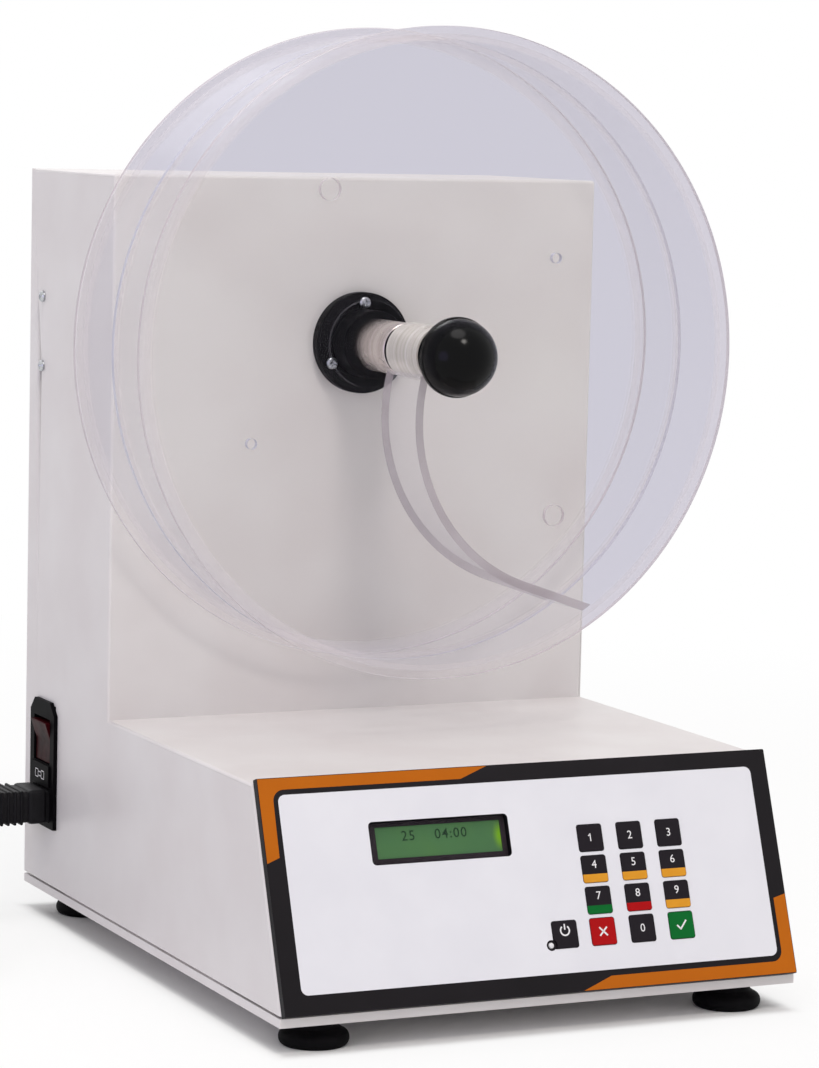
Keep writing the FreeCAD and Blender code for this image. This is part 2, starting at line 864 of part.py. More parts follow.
def make_screws():
    """Every case screw: flange, sides, rear cover, feet, panel, gearbox and power board."""
    short = make_screw_pattern("short_screw", size.screw_length)
    flange = make_screw_pattern(
        "flange_screw", size.flange_thickness + size.sheet + size.screw_point)
    foot = make_screw_pattern(
        "foot_screw",
        size.foot_height / 2 + size.tray_rise + size.seam_gap + size.foot_screw_bite)
    panel = make_screw_pattern("panel_screw", size.sheet + place.plate_thread - size.loose_fit)
    face = place.face_place
    front = Rotation(X_AXIS, 90)
    behind = Rotation(X_AXIS, -90)
    screws = []
    for angle in FLANGE_SCREW_ANGLES:
        spot = (size.flange_screw_ring * cosine(angle), face - size.flange_thickness,
                place.axis_height + size.flange_screw_ring * sine(angle))
        screws.append(copy_at(flange, spot, front))
    for angle in GEARBOX_SCREW_ANGLES:
        rise = size.gearbox_screw_ring * sine(angle) - place.gear_distance
        spot = (size.gearbox_screw_ring * cosine(angle), face + size.bracket_front,
                place.axis_height + rise)
        screws.append(copy_at(short, spot, front))
    for across, rise in cover_screw_places():
        spot = (across, face + size.tower_depth, place.seam_height + rise)
        screws.append(copy_at(short, spot, behind))
    for side, end in signs():
        rise = place.axis_height + end * size.side_screw_spacing / 2
        spot = (side * place.half_width, face + place.side_screw_reach, rise)
        screws.append(copy_at(short, spot, Rotation(Y_AXIS, 90 * side)))
    for across, along in foot_places():
        spot = (across, face + along, size.foot_height / 2)
        screws.append(copy_at(foot, spot, Rotation(X_AXIS, 180)))
    for across, along in board_stud_places():
        spot = (across, face + along, place.seam_height + place.stud_top + size.board_thickness)
        screws.append(copy_at(short, spot, Rotation()))
    for side, end in signs():
        up = size.panel_screw_low if end < 0 else size.panel_screw_high
        depth = size.sheet * cosine(size.panel_tilt) + up * sine(size.panel_tilt)
        drop = -size.sheet * sine(size.panel_tilt) + up * cosine(size.panel_tilt)
        spot = (side * size.panel_screw_across, face - place.panel_back + depth,
                place.panel_height + drop)
        screws.append(copy_at(panel, spot, Rotation(X_AXIS, 270 - size.panel_tilt.number)))
    name_node("case_screws", held("case_screws", screws))


# Panel plate, overlay, display and keypad, all in the panel frame
def key_center(key):
    if key == "key_power":
        return size.power_key_across, size.key_first_up
    column, line = KEY_PLACES[key]
    return (size.key_first_across + column * size.key_pitch_across,
            size.key_first_up + line * size.key_pitch_up)


def all_keys():
    return list(KEY_PLACES) + ["key_power"]


def centered(name, center, width, height, depth):
    """A block round a center in the panel frame, over a span of depth."""
    across, up = center
    return block(
        name, (across - width / 2, across + width / 2), (up - height / 2, up + height / 2), depth)


def panel_holes(depth):
    """Openings that plate and overlay share for the display and the keys."""
    display = (size.display_across, size.display_up)
    holes = [centered("display_hole", display, size.display_width, size.display_height, depth)]
    for key in all_keys():
        holes.append(centered(
            key + "_hole", key_center(key), size.key_width + 2 * size.key_gap,
            size.key_height + 2 * size.key_gap, depth))
    return holes


def panel_sheet(node, depth, more_holes):
    """One sheet of the panel with its openings and the raised collar round the lamp."""
    across = (-place.plate_half_width, place.plate_half_width)
    through = (-size.plate_thickness, 2 * size.plate_thickness)
    lamp = (size.led_across, size.led_up)
    sheet = cut(node + "_holed", block(node + "_sheet", across, (0, size.panel_length), depth),
                panel_holes(through) + more_holes)
    collar = rod(node + "_collar", "Z", size.led_bezel_radius, depth, lamp)
    lamp_hole = rod("lamp_hole", "Z", size.led_radius + size.fit_gap, through, lamp)
    on_panel(node, cut(node, fuse(node + "_solid", [sheet, collar]), [lamp_hole]))


def make_panel():
    threads = []
    for side, end in signs():
        up = size.panel_screw_low if end < 0 else size.panel_screw_high
        threads.append(rod(
            "plate_thread", "Z", size.screw_hole_radius,
            (-size.plate_thickness, place.plate_thread),
            (side * size.panel_screw_across, up)))
    panel_sheet("panel_plate", (0, size.plate_thickness), threads)
    panel_sheet("panel_overlay", (size.plate_thickness, place.overlay_front), [])


def make_display():
    center = (size.display_across, size.display_up)
    pane = centered(
        "lcd_window", center, size.display_width - 2 * size.fit_gap,
        size.display_height - 2 * size.fit_gap, (0, size.window_thickness))
    on_panel("lcd_window", held("lcd_window", [pane]))
    frame = centered(
        "lcd_frame", center, size.module_width, size.module_height,
        (place.module_back, place.module_front))
    board = centered(
        "lcd_board", center, size.display_board_width, size.display_board_height,
        (place.module_back - size.board_thickness, place.module_back))
    sight = centered(
        "lcd_sight", center, size.glass_width, size.glass_height,
        (place.module_front - size.window_thickness, PAST))
    on_panel("lcd_module", cut("lcd_module", fuse("lcd_solid", [frame, board]), [sight]))


def make_keypad():
    board = block(
        "keypad_board", (size.keypad_left, size.keypad_right), (size.keypad_low, size.keypad_high),
        (place.keypad_back, place.keypad_front))
    on_panel("keypad_board", held("keypad_board", [board]))
    middle = (0, 0)
    body_top = place.keypad_front + size.switch_body
    pattern = fuse("switch", [
        centered("switch_box", middle, size.switch_size, size.switch_size,
                 (place.keypad_front, body_top)),
        rod("switch_plunger", "Z", size.switch_plunger_radius, (body_top, place.switch_top))])
    on_panel("dome_switches", held("dome_switches", [
        copy_at(pattern, key_center(key) + (0,), Rotation()) for key in all_keys()]))
    inset = size.standoff_inset
    left = size.keypad_left + inset
    right = size.keypad_right - size.standoff_radius - size.fit_gap
    gap_between_keys = (size.power_key_across + size.key_first_across) / 2
    posts = [
        (left, size.keypad_high - inset),
        (right, size.keypad_high - inset),
        (gap_between_keys, size.keypad_low + inset),
        (right, size.keypad_low + inset)]
    rods = [
        rod("keypad_post", "Z", size.standoff_radius, (place.keypad_front, 0), spot)
        for spot in posts]
    for side, end in signs():
        spot = (size.display_across + side * (size.display_board_width / 2 - inset),
                size.display_up + end * (size.display_board_height / 2 - inset))
        rods.append(rod("display_post", "Z", size.standoff_radius, (place.module_back, 0), spot))
    on_panel("board_standoffs", held("board_standoffs", rods))
    radius = size.led_radius
    tip = place.overlay_front + size.led_proud
    collar = radius + size.led_collar
    collar_top = place.keypad_front + size.led_collar_height
    dome = [
        (radius * cosine(angle), tip - radius + radius * sine(angle)) for angle in (0, 30, 60)]
    lamp = turned("power_led", "XZ_Plane", [
        (0, place.keypad_front), (collar, place.keypad_front), (collar, collar_top),
        (radius, collar_top)] + dome + [(0, tip)])
    on_panel("power_led", held("lamp_seat", [locate(lamp, size.led_across, size.led_up, 0)]))


def make_keys():
    """Thirteen caps, each with a flange behind the plate that keeps it in."""
    top = place.overlay_front + size.key_proud
    shoulder = -size.key_rest_gap
    for key in all_keys():
        cap = centered(
            key + "_cap", key_center(key), size.key_width, size.key_height, (shoulder, top))
        flange = centered(
            key + "_flange", key_center(key), size.key_width + 2 * size.key_flange,
            size.key_height + 2 * size.key_flange, (place.key_back, shoulder))
        solid = fuse(key + "_solid", [cap, flange])
        if key == "key_power":
            corner = rod("lamp_corner", "Z", size.led_bezel_radius + size.key_gap,
                         (place.key_back - PAST, top + PAST), (size.led_across, size.led_up))
            solid = cut(key, solid, [corner])
        on_panel(key, solid)


# Mains inlet module, its switch and fuse drawer; X runs out of the wall as negative
def make_inlet():
    half = size.inlet_width / 2
    high = size.inlet_height / 2
    corner = size.inlet_chamfer
    flange, _ = padded("inlet_flange", "YZ_Plane", [
        (-half, -high), (half, -high), (half, high - corner), (half - corner, high),
        (corner - half, high), (-half, high - corner)], size.inlet_flange)
    locate(flange, -size.inlet_flange / 2, 0, 0)
    box_half = size.inlet_body_width / 2
    box_high = size.inlet_body_height / 2
    box = block(
        "inlet_box", (0, size.inlet_body_depth), (-box_half, box_half), (-box_high, box_high))
    outward = -2 * size.inlet_flange
    axle_end = size.rocker_width / 2 + size.rocker_axle_reach + size.module_gap

    def well(name, up, width, height, depth):
        return block(
            name, (outward, depth), (-width / 2, width / 2), (up - height / 2, up + height / 2))

    wells = [
        well("rocker_well", size.rocker_up, size.rocker_width + size.rocker_gap,
             size.rocker_height + 2 * size.rocker_gap, size.rocker_well),
        well("drawer_well", size.drawer_up, size.drawer_width + 2 * size.loose_fit,
             size.drawer_height + 2 * size.loose_fit, size.drawer_depth + size.fit_gap),
        well("socket_well", size.socket_up, size.socket_width, size.socket_height,
             size.socket_depth),
        rod("pivot_bore", "Y", size.rocker_pivot_radius + size.running_fit,
            (-axle_end, axle_end), (size.rocker_pivot_depth, size.rocker_up)),
    ]
    for spot in pin_places():
        through = (size.socket_depth - PAST, size.inlet_body_depth + PAST)
        wells.append(pin("pin_slot", spot, size.fixed_fit, through))
    in_inlet("inlet_body", cut("inlet_body", fuse("inlet_solid", [flange, box]), wells))
    reach = (size.pin_reach, size.inlet_body_depth + size.pin_tail)
    pins = [pin("inlet_pin", spot, 0, reach) for spot in pin_places()]
    in_inlet("inlet_pins", held("inlet_pins", pins))


def pin_places():
    """Line, neutral and the earth pin, which stands a little higher."""
    return [
        (-size.pin_spacing, size.socket_up - size.pin_height / 4),
        (size.pin_spacing, size.socket_up - size.pin_height / 4),
        (as_size(0), size.socket_up + size.pin_height / 2)]


def pin(name, spot, gap, span):
    across, up = spot
    half = size.pin_width / 2 + gap
    tall = size.pin_height / 2 + gap
    return block(name, span, (across - half, across + half), (up - tall, up + tall))


def make_rocker():
    """The switch rocker, drawn about its pivot and at rest with its lower half pressed in."""
    high = size.rocker_height / 2
    face = -(size.rocker_proud + size.rocker_pivot_depth / 2 - size.rocker_dish / 2)
    body, _ = padded("rocker_cap", "XZ_Plane", [
        (face, -high), (face + size.rocker_dish, 0), (face, high),
        (size.rocker_root, high - size.rocker_root_inset),
        (size.rocker_back, high - size.rocker_back_inset),
        (size.rocker_back, size.rocker_back_inset - high),
        (size.rocker_root, size.rocker_root_inset - high)], size.rocker_width)
    half = size.rocker_width / 2 + size.rocker_axle_reach
    axle = rod("rocker_axle", "Y", size.rocker_pivot_radius, (-half, half))
    rocker = fuse("rocker_switch", [body, axle])
    locate(rocker, size.rocker_pivot_depth - place.half_width,
           place.face_place + size.inlet_reach,
           place.seam_height + size.inlet_rise + size.rocker_up, Y_AXIS, -size.rocker_tilt)
    name_node("rocker_switch", rocker)


def make_fuse_drawer():
    half = size.drawer_width / 2
    high = size.drawer_height / 2
    lip = size.drawer_lip
    front = place.inlet_front
    box = block(
        "drawer_box", (front, size.drawer_depth), (-half, half),
        (size.drawer_up - high, size.drawer_up + high))
    face = block(
        "drawer_face", (front - size.drawer_lip_thickness, front), (-half - lip, half + lip),
        (size.drawer_up - high - lip, size.drawer_up + high + lip))
    radius = size.fuse_radius + size.loose_fit
    bed = size.fuse_length / 2 + size.loose_fit
    trough = block(
        "fuse_trough", (size.fuse_depth - radius, size.fuse_depth + radius), (-bed, bed),
        (size.drawer_up - radius, size.drawer_up + 2 * high))
    in_inlet("fuse_drawer", cut("fuse_drawer", fuse("drawer_solid", [box, face]), [trough]))
    half_fuse = size.fuse_length / 2
    cap = half_fuse - size.fuse_cap_length
    tube = size.fuse_radius - size.fuse_cap_step
    link = turned("fuse_turned", "XY_Plane", [
        (0, -half_fuse), (size.fuse_radius, -half_fuse), (size.fuse_radius, -cap), (tube, -cap),
        (tube, cap), (size.fuse_radius, cap), (size.fuse_radius, half_fuse), (0, half_fuse)])
    in_inlet("fuse_link", held(
        "fuse_seat", [locate(link, size.fuse_depth, 0, size.drawer_up)]))


# Drive train inside the tower, in the axis frame: negative Y is in front of the tower
def make_bearing_housing():
    bore = size.bearing_radius + size.fixed_fit
    nose = size.nose_chamfer
    rim = size.flange_chamfer
    body = turned("bearing_turned", "XY_Plane", [
        (size.nose_bore_radius, -size.nose_front), (size.nose_radius - nose, -size.nose_front),
        (size.nose_radius, nose - size.nose_front), (size.nose_radius, -size.flange_thickness),
        (size.flange_radius - rim, -size.flange_thickness),
        (size.flange_radius, rim - size.flange_thickness), (size.flange_radius, 0),
        (size.spigot_radius, 0), (size.spigot_radius, size.spigot_length),
        (bore, size.spigot_length), (bore, -size.front_bearing_front),
        (size.nose_bore_radius, -size.front_bearing_front)])
    through = (-2 * size.flange_thickness, size.flange_thickness)
    holes = [
        rod("flange_hole", "Y", size.screw_hole_radius, through,
            (size.flange_screw_ring * cosine(angle), size.flange_screw_ring * sine(angle)))
        for angle in FLANGE_SCREW_ANGLES]
    on_axis("bearing_housing", cut("bearing_housing", body, holes))


def ring(name, outer, bore, span):
    """A plain ring or a holed disc along the axis."""
    low, high = as_size(span[0]), as_size(span[1])
    hole = rod(name + "_bore", "Y", bore, (low - PAST, high + PAST))
    return cut(name, rod(name + "_round", "Y", outer, (low, high)), [hole])


def make_bearings():
    middle = (size.bearing_radius + size.shaft_radius) / 2
    inner = []
    outer = []
    for front in (-size.front_bearing_front, size.rear_bearing_front):
        span = (front, front + size.bearing_width)
        outer.append(ring("outer_ring", size.bearing_radius, middle + size.bearing_gap / 2, span))
        inner.append(ring(
            "inner_ring", middle - size.bearing_gap / 2, size.shaft_radius + size.fixed_fit, span))
    for node, rings in (("bearing_outer_rings", outer), ("bearing_inner_rings", inner)):
        on_axis(node, held(node, rings))


def make_shaft():
    tip = size.shaft_chamfer
    on_axis("drum_shaft", turned("drum_shaft", "XY_Plane", [
        (0, -size.stud_front), (size.stud_radius - tip, -size.stud_front),
        (size.stud_radius, tip - size.stud_front), (size.stud_radius, -size.shaft_front),
        (size.shaft_radius, -size.shaft_front), (size.shaft_radius, size.shaft_back),
        (0, size.shaft_back)]))
    on_axis("drive_hub", ring(
        "drive_hub", size.drive_hub_radius, size.shaft_radius + size.fixed_fit,
        (-size.drive_hub_front, -size.drive_hub_back)))
    on_axis("hub_o_ring", ring(
        "hub_o_ring", size.drive_hub_radius - size.loose_fit, size.shaft_radius + size.fixed_fit,
        (-place.hub_ring_front, -size.drive_hub_front)))


def involute_outline(teeth, backlash, turn):
    """The points of an involute spur gear in the plane, with a tooth on the turn angle."""
    module = size.gear_module.number
    pitch_radius = teeth * module / 2
    base_radius = pitch_radius * math.cos(GEAR_PRESSURE_ANGLE)
    root_radius = pitch_radius - 1.25 * module
    tip_radius = pitch_radius + module - backlash / 2
    half_tooth = math.pi / (2 * teeth) - backlash / (2 * pitch_radius)
    pitch_roll = math.tan(GEAR_PRESSURE_ANGLE) - GEAR_PRESSURE_ANGLE

    def flank_angle(radius):
        if radius <= base_radius:
            return half_tooth + pitch_roll
        pressure = math.acos(base_radius / radius)
        return half_tooth + pitch_roll - (math.tan(pressure) - pressure)

    start_radius = max(base_radius, root_radius)
    radii = [root_radius]
    radii += [start_radius + (tip_radius - start_radius) * step / 4 for step in range(5)]
    points = []
    for tooth in range(teeth):
        center = math.radians(turn) + 2 * math.pi * tooth / teeth
        for side, row in ((-1, radii), (1, radii[::-1])):
            for radius in row:
                angle = center + side * flank_angle(radius)
                points.append((radius * math.cos(angle), radius * math.sin(angle)))
    return points


def gear_blank(name, teeth, turn, front, width, across=0.0, up=0.0):
    """A toothed disc along the axis; the tooth form is worked out, not sketched."""
    points = [
        Vector(across + x, front, up + z)
        for x, z in involute_outline(teeth, size.gear_backlash.number, turn)]
    face = Part.Face(Part.makePolygon(points + points[:1]))
    blank = doc.addObject("Part::Feature", name)
    blank.Shape = face.extrude(Vector(0, width, 0))
    return blank


def make_gears():
    wheel = gear_blank(
        "gear_teeth", int(size.gear_teeth.number), -90, size.gear_front.number,
        size.gear_width.number)
    bore = rod("gear_bore", "Y", size.shaft_radius + size.fixed_fit,
               (size.gear_front - PAST, size.gear_front + size.gear_width + PAST))
    on_axis("drum_gear", cut("drum_gear", wheel, [bore]))
    teeth = int(size.pinion_teeth.number)
    inset = (size.pinion_width.number - size.gear_width.number) / 2
    small = gear_blank(
        "pinion_teeth", teeth, 90 + 180 / teeth, size.gear_front.number - inset,
        size.pinion_width.number, 0, -place.gear_distance.number)
    spindle = rod("pinion_spindle", "Y", size.pinion_shaft_radius,
                  (size.gear_front - size.pinion_collar, size.pinion_shaft_back),
                  (0, -place.gear_distance))
    on_axis("motor_pinion", fuse("motor_pinion", [small, spindle]))


def make_bracket():
    """A folded plate between the side walls that carries the gearbox and the rear bearing."""
    outside = place.wall_inside - size.fit_gap
    inside = outside - size.bracket_sheet
    rise = (size.bracket_bottom, size.bracket_top)
    through = (size.bracket_front - PAST, place.bracket_back + PAST)
    plate = block("bracket_plate", (-outside, outside), (size.bracket_front, place.bracket_back),
                  rise)
    arms = (size.bracket_front, place.bracket_arm_back)
    pieces = [
        plate,
        block("bracket_arm_right", (inside, outside), arms, rise),
        block("bracket_arm_left", (-outside, -inside), arms, rise),
        rod("bracket_boss", "Y", size.bracket_boss_radius,
            (size.rear_bearing_front - size.bearing_lip, size.bracket_boss_back))]
    holes = [
        rod("rear_bearing_bore", "Y", size.bearing_radius + size.fixed_fit,
            (size.rear_bearing_front - size.bearing_lip - PAST, size.bracket_boss_back + PAST)),
        rod("spindle_hole", "Y", size.pinion_shaft_radius + size.spindle_gap, through,
            (0, -place.gear_distance))]
    for angle in GEARBOX_SCREW_ANGLES:
        spot = (size.gearbox_screw_ring * cosine(angle),
                size.gearbox_screw_ring * sine(angle) - place.gear_distance)
        holes.append(rod("gearbox_hole", "Y", size.screw_hole_radius, through, spot))
    for side, end in signs():
        spot = (place.side_screw_reach, end * size.side_screw_spacing / 2)
        deep = size.bracket_sheet + PAST
        span = (side * outside - deep, side * outside + deep)
        holes.append(rod("arm_hole", "X", size.screw_hole_radius, span, spot))
    on_axis("motor_bracket", cut("motor_bracket", fuse("bracket_solid", pieces), holes))
    low = (0, -place.gear_distance)
    case = rod("gearbox_case", "Y", size.gearbox_radius, (place.bracket_back, place.gearbox_back),
               low)
    bores = [rod("gearbox_bore", "Y", size.pinion_shaft_radius + size.running_fit,
                 (place.bracket_back - PAST, size.pinion_shaft_back + size.pinion_end_gap), low)]
    for angle in GEARBOX_SCREW_ANGLES:
        spot = (size.gearbox_screw_ring * cosine(angle),
                size.gearbox_screw_ring * sine(angle) - place.gear_distance)
        bores.append(rod("gearbox_thread", "Y", size.screw_hole_radius,
                         (place.bracket_back - PAST, place.bracket_back + size.screw_length),
                         spot))
    on_axis("gearbox_housing", cut("gearbox_housing", case, bores))
    can = rod("motor_round", "Y", size.motor_radius,
              (place.gearbox_back, place.motor_back), low)
    on_axis("motor_can", held("motor_can", [can]))


def make_encoder():
    disc = ring("encoder_round", size.encoder_radius, size.shaft_radius + size.fixed_fit,
                (size.encoder_front, size.encoder_front + size.encoder_thickness))
    collar = ring("encoder_collar", size.encoder_hub_radius, size.shaft_radius + size.fixed_fit,
                  (size.encoder_front, size.encoder_front + size.encoder_hub_length))
    count = int(size.encoder_slots.number)
    slots = []
    for index in range(count):
        slot = block(
            "encoder_slot",
            (size.encoder_radius - size.encoder_slot_depth, size.encoder_radius + PAST),
            (size.encoder_front - PAST, size.encoder_front + size.encoder_thickness + PAST),
            (-size.encoder_slot_width / 2, size.encoder_slot_width / 2))
        holder = held("turned_slot", [slot])
        holder.Placement = Placement(Vector(), Rotation(Y_AXIS, 360 / count * (index + 0.5)))
        slots.append(holder)
    on_axis("encoder_disc", cut("encoder_disc", fuse("encoder_solid", [disc, collar]), slots))
    high = size.sensor_overlap - size.encoder_radius
    low = high - size.sensor_height
    fork = block("sensor_block", (-size.sensor_width / 2, size.sensor_width / 2),
                 (size.sheet, size.sensor_reach), (low, high))
    slot = block("sensor_slot", (-size.sensor_width, size.sensor_width),
                 (size.encoder_front - size.sensor_gap,
                  size.encoder_front + size.encoder_hub_length - size.sensor_gap),
                 (-size.encoder_radius - size.sensor_slot_floor, high + PAST))
    on_axis("speed_sensor", cut("speed_sensor", fork, [slot]))


# Drum: two rings between three discs, the tablet arm in the front chamber, and the lid
def make_drum():
    on_axis("drum_rear_disc", ring(
        "drum_rear_disc", size.disc_radius, size.rear_disc_hole_radius,
        (-place.rear_disc_front, -size.drum_back)))
    on_axis("drum_rear_ring", ring(
        "drum_rear_ring", place.ring_radius, size.drum_bore_radius,
        (-place.mid_disc_back, -place.rear_disc_front)))
    holes = [
        rod("index_hole", "Y", size.index_hole_radius,
            (-place.mid_disc_front - PAST, PAST - place.mid_disc_back),
            (size.index_hole_ring * cosine(angle), size.index_hole_ring * sine(angle)))
        for angle in (size.index_hole_angle, size.index_hole_angle + 180)]
    mid = ring("mid_round", place.ring_radius, size.drive_hub_radius + size.loose_fit,
               (-place.mid_disc_front, -place.mid_disc_back))
    on_axis("drum_mid_disc", cut("drum_mid_disc", mid, holes))
    on_axis("drum_front_ring", ring(
        "drum_front_ring", place.ring_radius, size.drum_bore_radius,
        (-place.lid_back, -place.mid_disc_front)))
    tube = ring("tube_round", size.hub_tube_radius, size.hub_tube_bore,
                (-size.hub_tube_front, -place.mid_disc_front))
    seat = rod("tube_seat", "Y", size.drive_hub_radius + size.loose_fit,
               (-place.hub_ring_front, -place.mid_disc_back))
    on_axis("drum_hub_tube", cut("drum_hub_tube", tube, [seat]))
    holes = [
        rod("lid_hole", "Y", size.lid_hole_radius,
            (-place.lid_front - PAST, PAST - place.lid_back),
            (size.lid_hole_ring * cosine(angle), size.lid_hole_ring * sine(angle)))
        for angle in (size.lid_hole_angle, size.lid_hole_angle + 180)]
    lid = ring("lid_round", size.disc_radius, size.lid_bore_radius,
               (-place.lid_front, -place.lid_back))
    on_axis("drum_lid", cut("drum_lid", lid, holes))
    on_axis("lid_boss", ring(
        "lid_boss", size.hub_tube_radius, size.lid_bore_radius,
        (-place.lid_back, -size.hub_tube_front - size.lid_boss_gap)))


def make_arm():
    """The curved arm that lifts the tablets: an arc from the hub, then a straight tail."""
    span = (-place.lid_back + size.arm_lid_gap, -place.mid_disc_front)
    outer = size.arm_radius + size.arm_thickness
    center = (size.arm_center_across, size.arm_center_up)
    sweep = size.arm_end_angle - size.arm_start_angle
    width = as_size(span[1]) - span[0]
    sector = doc.addObject("Part::Cylinder", "arm_sector")
    bind(sector, Radius=outer, Height=width, Angle=sweep)
    core = doc.addObject("Part::Cylinder", "arm_core")
    bind(core, Radius=size.arm_radius, Height=width, Angle=sweep)
    bend = cut("arm_bend", sector, [core])
    tail = block("arm_tail_strip", (size.arm_radius, outer), (0, size.arm_tail), (0, width))
    swung = locate(held("arm_tail_turned", [tail]), 0, 0, 0, Z_AXIS, sweep)
    flat = held("arm_strip", [fuse("arm_flat", [bend, swung])])
    locate(flat, 0, 0, 0, Z_AXIS, size.arm_start_angle)
    upright = locate(
        held("arm_upright", [flat]), center[0], span[1], center[1], X_AXIS, 90)
    room = ring("arm_room", size.drum_bore_radius - size.running_fit,
                size.hub_tube_radius + size.running_fit, span)
    on_axis("drum_arm", common("drum_arm", room, upright))


def make_knob():
    on_axis("knob_washer", ring(
        "knob_washer", size.washer_radius, size.lid_bore_radius,
        (-place.washer_front, -place.lid_front)))
    rim_front = size.knob_rim_back + size.knob_rim_width
    rim = size.knob_rim_radius
    crown = size.knob_front - rim_front
    bore = size.stud_radius + size.running_fit
    relief = size.lid_bore_radius
    dome_radius = rim - size.knob_dome_inset
    dome = [
        (dome_radius * sine(angle), -rim_front - crown * cosine(angle))
        for angle in KNOB_DOME_ANGLES]
    points = [
        (relief, -place.washer_front), (size.knob_neck_radius, -place.washer_front),
        (size.knob_neck_radius, -size.knob_rim_back),
        (rim - size.knob_lip_back, -size.knob_rim_back),
        (rim, -size.knob_rim_back - size.knob_lip_back),
        (rim, size.knob_lip_front - rim_front), (dome_radius, -rim_front)]
    points += dome
    points += [
        (0, -size.knob_front), (0, -size.knob_bore_end), (bore, -size.knob_bore_end),
        (bore, -size.shaft_front - size.knob_recess),
        (relief, -size.shaft_front - size.knob_recess)]
    on_axis("clamp_knob", turned("clamp_knob", "XY_Plane", points))


# Power board and transformer on the tray's studs
def make_power_board():
    half = size.power_board_width / 2
    span = (-size.power_board_front, place.power_board_back)
    top = place.stud_top + size.board_thickness
    board = block("power_sheet", (-half, half), span, (place.stud_top, top))
    holes = [
        rod("board_hole", "Z", size.screw_hole_radius, (place.stud_top - PAST, top + PAST), spot)
        for spot in board_stud_places()]
    in_housing("power_board", cut("power_board", board, holes))
    middle = (place.power_board_back - size.power_board_front) / 2
    left = size.transformer_across - size.transformer_width / 2
    core = block(
        "transformer_core", (left, left + size.transformer_width),
        (middle - size.transformer_depth / 2, middle + size.transformer_depth / 2),
        (top, top + size.transformer_height))
    in_housing("transformer", held("transformer", [core]))


# Mains lead: connector, free cord, put-away coil and plug
def make_connector():
    up = size.socket_up
    half = size.connector_nose_width / 2
    high = size.connector_nose_height / 2
    nose = block(
        "connector_nose", (place.grip_back, size.socket_depth - size.fit_gap), (-half, half),
        (up - high, up + high))
    half = size.connector_grip_width / 2
    high = size.connector_grip_height / 2
    corner = size.connector_round
    grip, _ = padded("connector_grip", "YZ_Plane", [
        (-half, -high), (half, -high), (half, high - corner), (half - corner, high),
        (corner - half, high), (-half, high - corner)], size.connector_grip_length)
    locate(grip, place.grip_back - size.connector_grip_length / 2, 0, up)
    relief = rod("connector_relief", "X", size.relief_tip_radius,
                 (place.relief_end, place.grip_end), (0, up), size.relief_radius)
    slots = [
        pin("connector_slot", spot, size.fit_gap,
            (size.pin_reach - 2 * PAST, size.socket_depth + PAST))
        for spot in pin_places()]
    in_inlet("mains_connector", cut(
        "mains_connector", fuse("connector_solid", [nose, grip, relief]), slots))


def rounded_path(points):
    """Straight runs joined by tangent arcs, each as large as its two runs allow."""
    corners = [Vector(*point) for point in points]
    edges = []
    start = corners[0]
    for before, corner, after in zip(corners, corners[1:], corners[2:]):
        arriving = (corner - before).normalize()
        leaving = (after - corner).normalize()
        half_turn = arriving.getAngle(leaving) / 2
        cut_back = CORD_ARC_SHARE * min((corner - before).Length, (after - corner).Length)
        radius = cut_back / math.tan(half_turn)
        print("cord bend radius %.1f mm" % radius)
        first = corner - arriving * cut_back
        last = corner + leaving * cut_back
        inward = (leaving - arriving).normalize()
        middle = corner + inward * (radius / math.cos(half_turn) - radius)
        edges.append(Part.LineSegment(start, first).toShape())
        edges.append(Part.Arc(first, middle, last).toShape())
        start = last
    edges.append(Part.LineSegment(start, corners[-1]).toShape())
    return Part.Wire(edges)


def sweep_cord(name, wire):
    """A round cord along a path, checked against its section times its length."""
    radius = size.cord_radius.number
    start = wire.Edges[0]
    tangent = start.tangentAt(start.FirstParameter)
    section = Part.Wire(Part.makeCircle(radius, start.valueAt(start.FirstParameter), tangent))
    shape = wire.makePipeShell([section], True, False)
    share = shape.Volume / (math.pi * radius ** 2 * wire.Length)
    print("%s: %.0f mm long, volume %.4f of section times length" % (name, wire.Length, share))
    cord = doc.addObject("Part::Feature", name)
    cord.Shape = shape
    return cord


def coil_point(turns):
    """A point of the coil's center line after so many turns from its outer end."""
    pitch = size.coil_pitch.number
    count = size.coil_turns.number
    inner = size.coil_inner_radius.number
    reverse = count + 0.25
    climb = min(max(turns - count, 0), 0.5) / 0.5
    radius = inner - pitch / 4 + pitch * abs(turns - reverse)
    angle = math.pi + 2 * math.pi * turns
    return Vector(
        size.coil_across.number + radius * math.cos(angle),
        size.coil_along.number + radius * math.sin(angle),
        size.cord_radius.number + pitch * climb)


def coil_heading(turns):
    """The direction along the coil, from a short step each way."""
    step = 0.0005
    total = 2 * size.coil_turns.number + 0.5
    low = coil_point(max(turns - step, 0))
    high = coil_point(min(turns + step, total))
    return (high - low).normalize()


